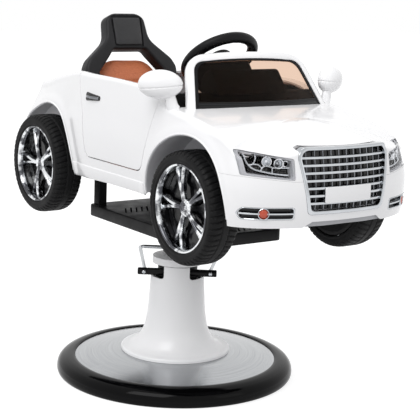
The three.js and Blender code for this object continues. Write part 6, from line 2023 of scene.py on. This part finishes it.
def turned(name, line, sides, body, slot, material, replaces, angle=SMOOTH_DEG):
    """A finished piece from one closed profile."""
    piece = grid_object(name, revolve(line, sides), wrap_rows=True, wrap_cols=True)
    return finish_piece(piece, body, slot, material, replaces, angle)


def dome_line():
    """The dome climbs from its edge by rise * s * (1.35 - 0.35 s), where s is the share of
    the way in, and stays level from there on. Its rim is folded down into the ring."""
    radii = np.linspace(DOME_R, DOME_INNER_R, 60)
    s = np.minimum(1, (DOME_R - radii) / DOME_RUN)
    top = np.stack([radii, DOME_EDGE_Z + DOME_RISE * s * (1 + 0.35 * (1 - s))], 1)
    return np.concatenate([[[DOME_R, 12.3]], top, top[::-1] - [0, DOME_WALL],
                           [[DOME_R - DOME_WALL, 12.3]]])


turned("floor_ring", RING_LINE, 240, "base", "rubber_black", ring_rubber, ["base_ring"], 40)
turned("brushed_dome", dome_line(), 240, "base", "brushed_dome", brushed_steel, ["base_dome"], 30)
print("ring and dome done")

# %% [markdown]
# The column's cover is spun from sheet like a trumpet, and powder coated white. Two
# notches in its top let the lever's bar out. Its cap stays still when the car turns.

# %% Column cover and cap
COVER_LINE = rounded_profile([
    (138, 57.4), (138, 64, 2), (135, 67, 2), (118, 68.2, 6), (104, 76, 14), (91, 92, 16),
    (80, 116, 22), (72.5, 158, 40), (69, 220, 30), (66, 281, 1), (62.5, 281.8, 1), (62, 276),
    (66, 200), (68.5, 158, 30), (76, 116, 20), (87, 92, 14), (99, 74, 10), (114, 57.4)], steps=10)
CAP_LINE = rounded_profile([(64, 282.4), (64, 300, 2), (24.2, 300, 1), (24.2, 282.4)])
LEVER_TURN, NOTCH_X, NOTCH_Z = math.radians(-36), 32, 249


def along_lever(points):
    """Turns a piece drawn square to the lever to where the lever stands."""
    return turned_about_z(points, LEVER_TURN)


cover = turned("column_trumpet", COVER_LINE, 160, "base", "white_plastic", moulded_white,
               ["column_cover"])
notches = []
for _, side in SIDES:
    outline = rounded_profile([(NOTCH_X * side, 300), (NOTCH_X * side, NOTCH_Z, 9),
                               (200 * side, NOTCH_Z), (200 * side, 300)], steps=10)
    notches.append(move_points(prism("cutter", outline, -200, 200, "y"), along_lever))
cut(cover, notches)
shade(cover, moulded_white, 34)
turned("column_cap", CAP_LINE, 128, "base", "white_plastic", moulded_white, ["collar_cover"], 40)
print("column cover:", len(cover.data.polygons), "faces")

# %% [markdown]
# Inside the cover the pump's head grips the ram, and the lever's bar runs through it. The
# bar is turned, with two grooves near its ends. The hoop that a foot presses is bent
# from rod and screwed on at both ends.

# %% Pump head, ram and lever
LEVER_Y, LEVER_Z, HOOP_X, HOOP_R = -32, 263, 83, 5
HEAD_LINE = rounded_profile([(20.4, 232), (50, 232, 2), (50, 275, 2), (44, 281, 2), (20.4, 281)])
RAM_LINE = [(0, 60), (19, 60), (20, 61), (20, 361.4), (0, 361.4)]
BAR_END = [(9, 74, 1), (8.4, 74.6, 0.4), (8.4, 75.4, 0.4), (9, 76, 1), (9, 97, 1.5), (7.5, 99, 1),
           (0, 99)]
BAR_LINE = rounded_profile([(r, -z, *rest) for r, z, *rest in BAR_END[::-1]] + BAR_END,
                           closed=False, steps=4)
HOOP_ARM = [(HOOP_X, -22.7, 263), (HOOP_X, -14, 263.3), (83.6, -6, 264), (94.5, 78, 270.5),
            (105.8, 160, 277), (105.5, 170, 277.6), (100, 177, 278), (90, 180, 278)]
SCREW_LINE = rounded_profile([(0, 1.4), (1.6, 1.4), (2.4, 3.0), (4.2, 2.4, 1), (5, 0.2, 0.5),
                              (5, -0.3), (0, -0.3)], closed=False)
pump_head = turned("pump_head_casting", HEAD_LINE, 96, "base", "black_plastic", black_abs,
                   ["pump_head"])
tunnel = prism("cutter", circle(9.5, 40) + [LEVER_Y, LEVER_Z], -200, 200, "x")
cut(pump_head, [move_points(tunnel, along_lever)])
shade(pump_head, black_abs, 34)
ram = grid_object("ram_rod", revolve(RAM_LINE, 64), wrap_cols=True)
finish_piece(ram, "ram", "chrome", chrome, ["ram"])

bar = revolve(BAR_LINE, 40)
bar = np.stack([bar[..., 2], bar[..., 0] + LEVER_Y, bar[..., 1] + LEVER_Z], -1)
shaft = grid_object("lever_bar", along_lever(bar), wrap_cols=True)
finish_piece(shaft, "pump_lever", "black_plastic", black_abs, ["pedal_shaft"], 40)
route = spline(HOOP_ARM + [(0, 180, 278)] + [(-x, y, z) for x, y, z in HOOP_ARM[::-1]], 200)
hoop = grid_object("lever_hoop", along_lever(capped(swept(route, circle(HOOP_R, 20)))),
                   wrap_cols=True)
finish_piece(hoop, "pump_lever", "chrome", chrome, ["pedal_hoop"])
screw = revolve(SCREW_LINE, 40)
for hand, side in SIDES:
    laid = np.stack([screw[..., 0] + side * HOOP_X, LEVER_Y - 9 - screw[..., 2],
                     screw[..., 1] + LEVER_Z], -1)
    finish_piece(grid_object("hoop_screw_head_" + hand, along_lever(laid), wrap_cols=True),
                 "pump_lever", "chrome", chrome, ["hoop_screw_" + hand], 40)
print("lever done")

# %% [markdown]
# ## Step board
# The board under the car is a black moulding with rows of leaning slots, so shoes grip and
# water runs off. A bump pattern would do from afar, but light falls through real slots.
# Four square tubes hold the car's floor above the board.

# %% Board and posts
BOARD_BOX, BOARD_Z = (-132.5, -246, 132.5, 222), (374, 404)
SLOT_Y, SLOT_PITCH, SLOT_ROW, SLOT_HALF_LENGTH = (-204, -52, 100), 16.0, 6, 26
TUBE_HALF, TUBE_WALL, TUBE_X, TUBE_Y, TUBE_MIDDLE, TUBE_Z = 12.5, 2.0, 112, 212, -12, (404.3, 511.7)
step = prism("step_board", rounded_box(*BOARD_BOX, 14, steps=8), *BOARD_Z, "z")
roll_edges(step, 3, 3)


def slot_cutter(x, y):
    """A cutter with a leaning outline and rounded ends."""
    ends = [(x + lean, y + way * SLOT_HALF_LENGTH, 2.4) for lean, way in (
        (-17.5, -1), (-12.5, -1), (17.5, 1), (12.5, 1))]
    return prism("cutter", rounded_profile(ends), 360, 420, "z")


slots = [slot_cutter(k * SLOT_PITCH, y) for y in SLOT_Y for k in range(-SLOT_ROW, SLOT_ROW + 1)]
cut(step, slots)
finish_piece(step, "car", "black_plastic", black_abs, ["step_platform"], 34)


def square_tube(x, y):
    """A square tube with rounded corners: two outlines, one inside the other."""
    rows = []
    for inset, level in ((0, 0), (0, 1), (TUBE_WALL, 1), (TUBE_WALL, 0)):
        loop = bar_section(TUBE_HALF - inset, TUBE_HALF - inset, 3) + [x, y]
        rows.append(np.concatenate([loop, np.full((len(loop), 1), TUBE_Z[level])], 1))
    return np.array(rows)


for end, way in (("front", -1), ("rear", 1)):
    for hand, side in SIDES:
        grid = square_tube(side * TUBE_X, TUBE_MIDDLE + way * TUBE_Y)
        tube = grid_object("post_tube_%s_%s" % (end, hand), grid, wrap_rows=True, wrap_cols=True)
        finish_piece(tube, "car", "black_plastic", black_abs, ["post_%s_%s" % (end, hand)], 40)
print("board with", len(slots), "slots")

# %% [markdown]
# The pieces inside the column show only through the cover's notches and from below. Their
# CAD shapes are right, so they stay as they are and get their finish.

# %% CAD nodes that stay
for name in ("base_plate", "pump_foot", "pump_cylinder", "swivel_plate"):
    nodes[name].data.materials.clear()
    nodes[name].data.materials.append(machined_steel)
print("all pieces made")
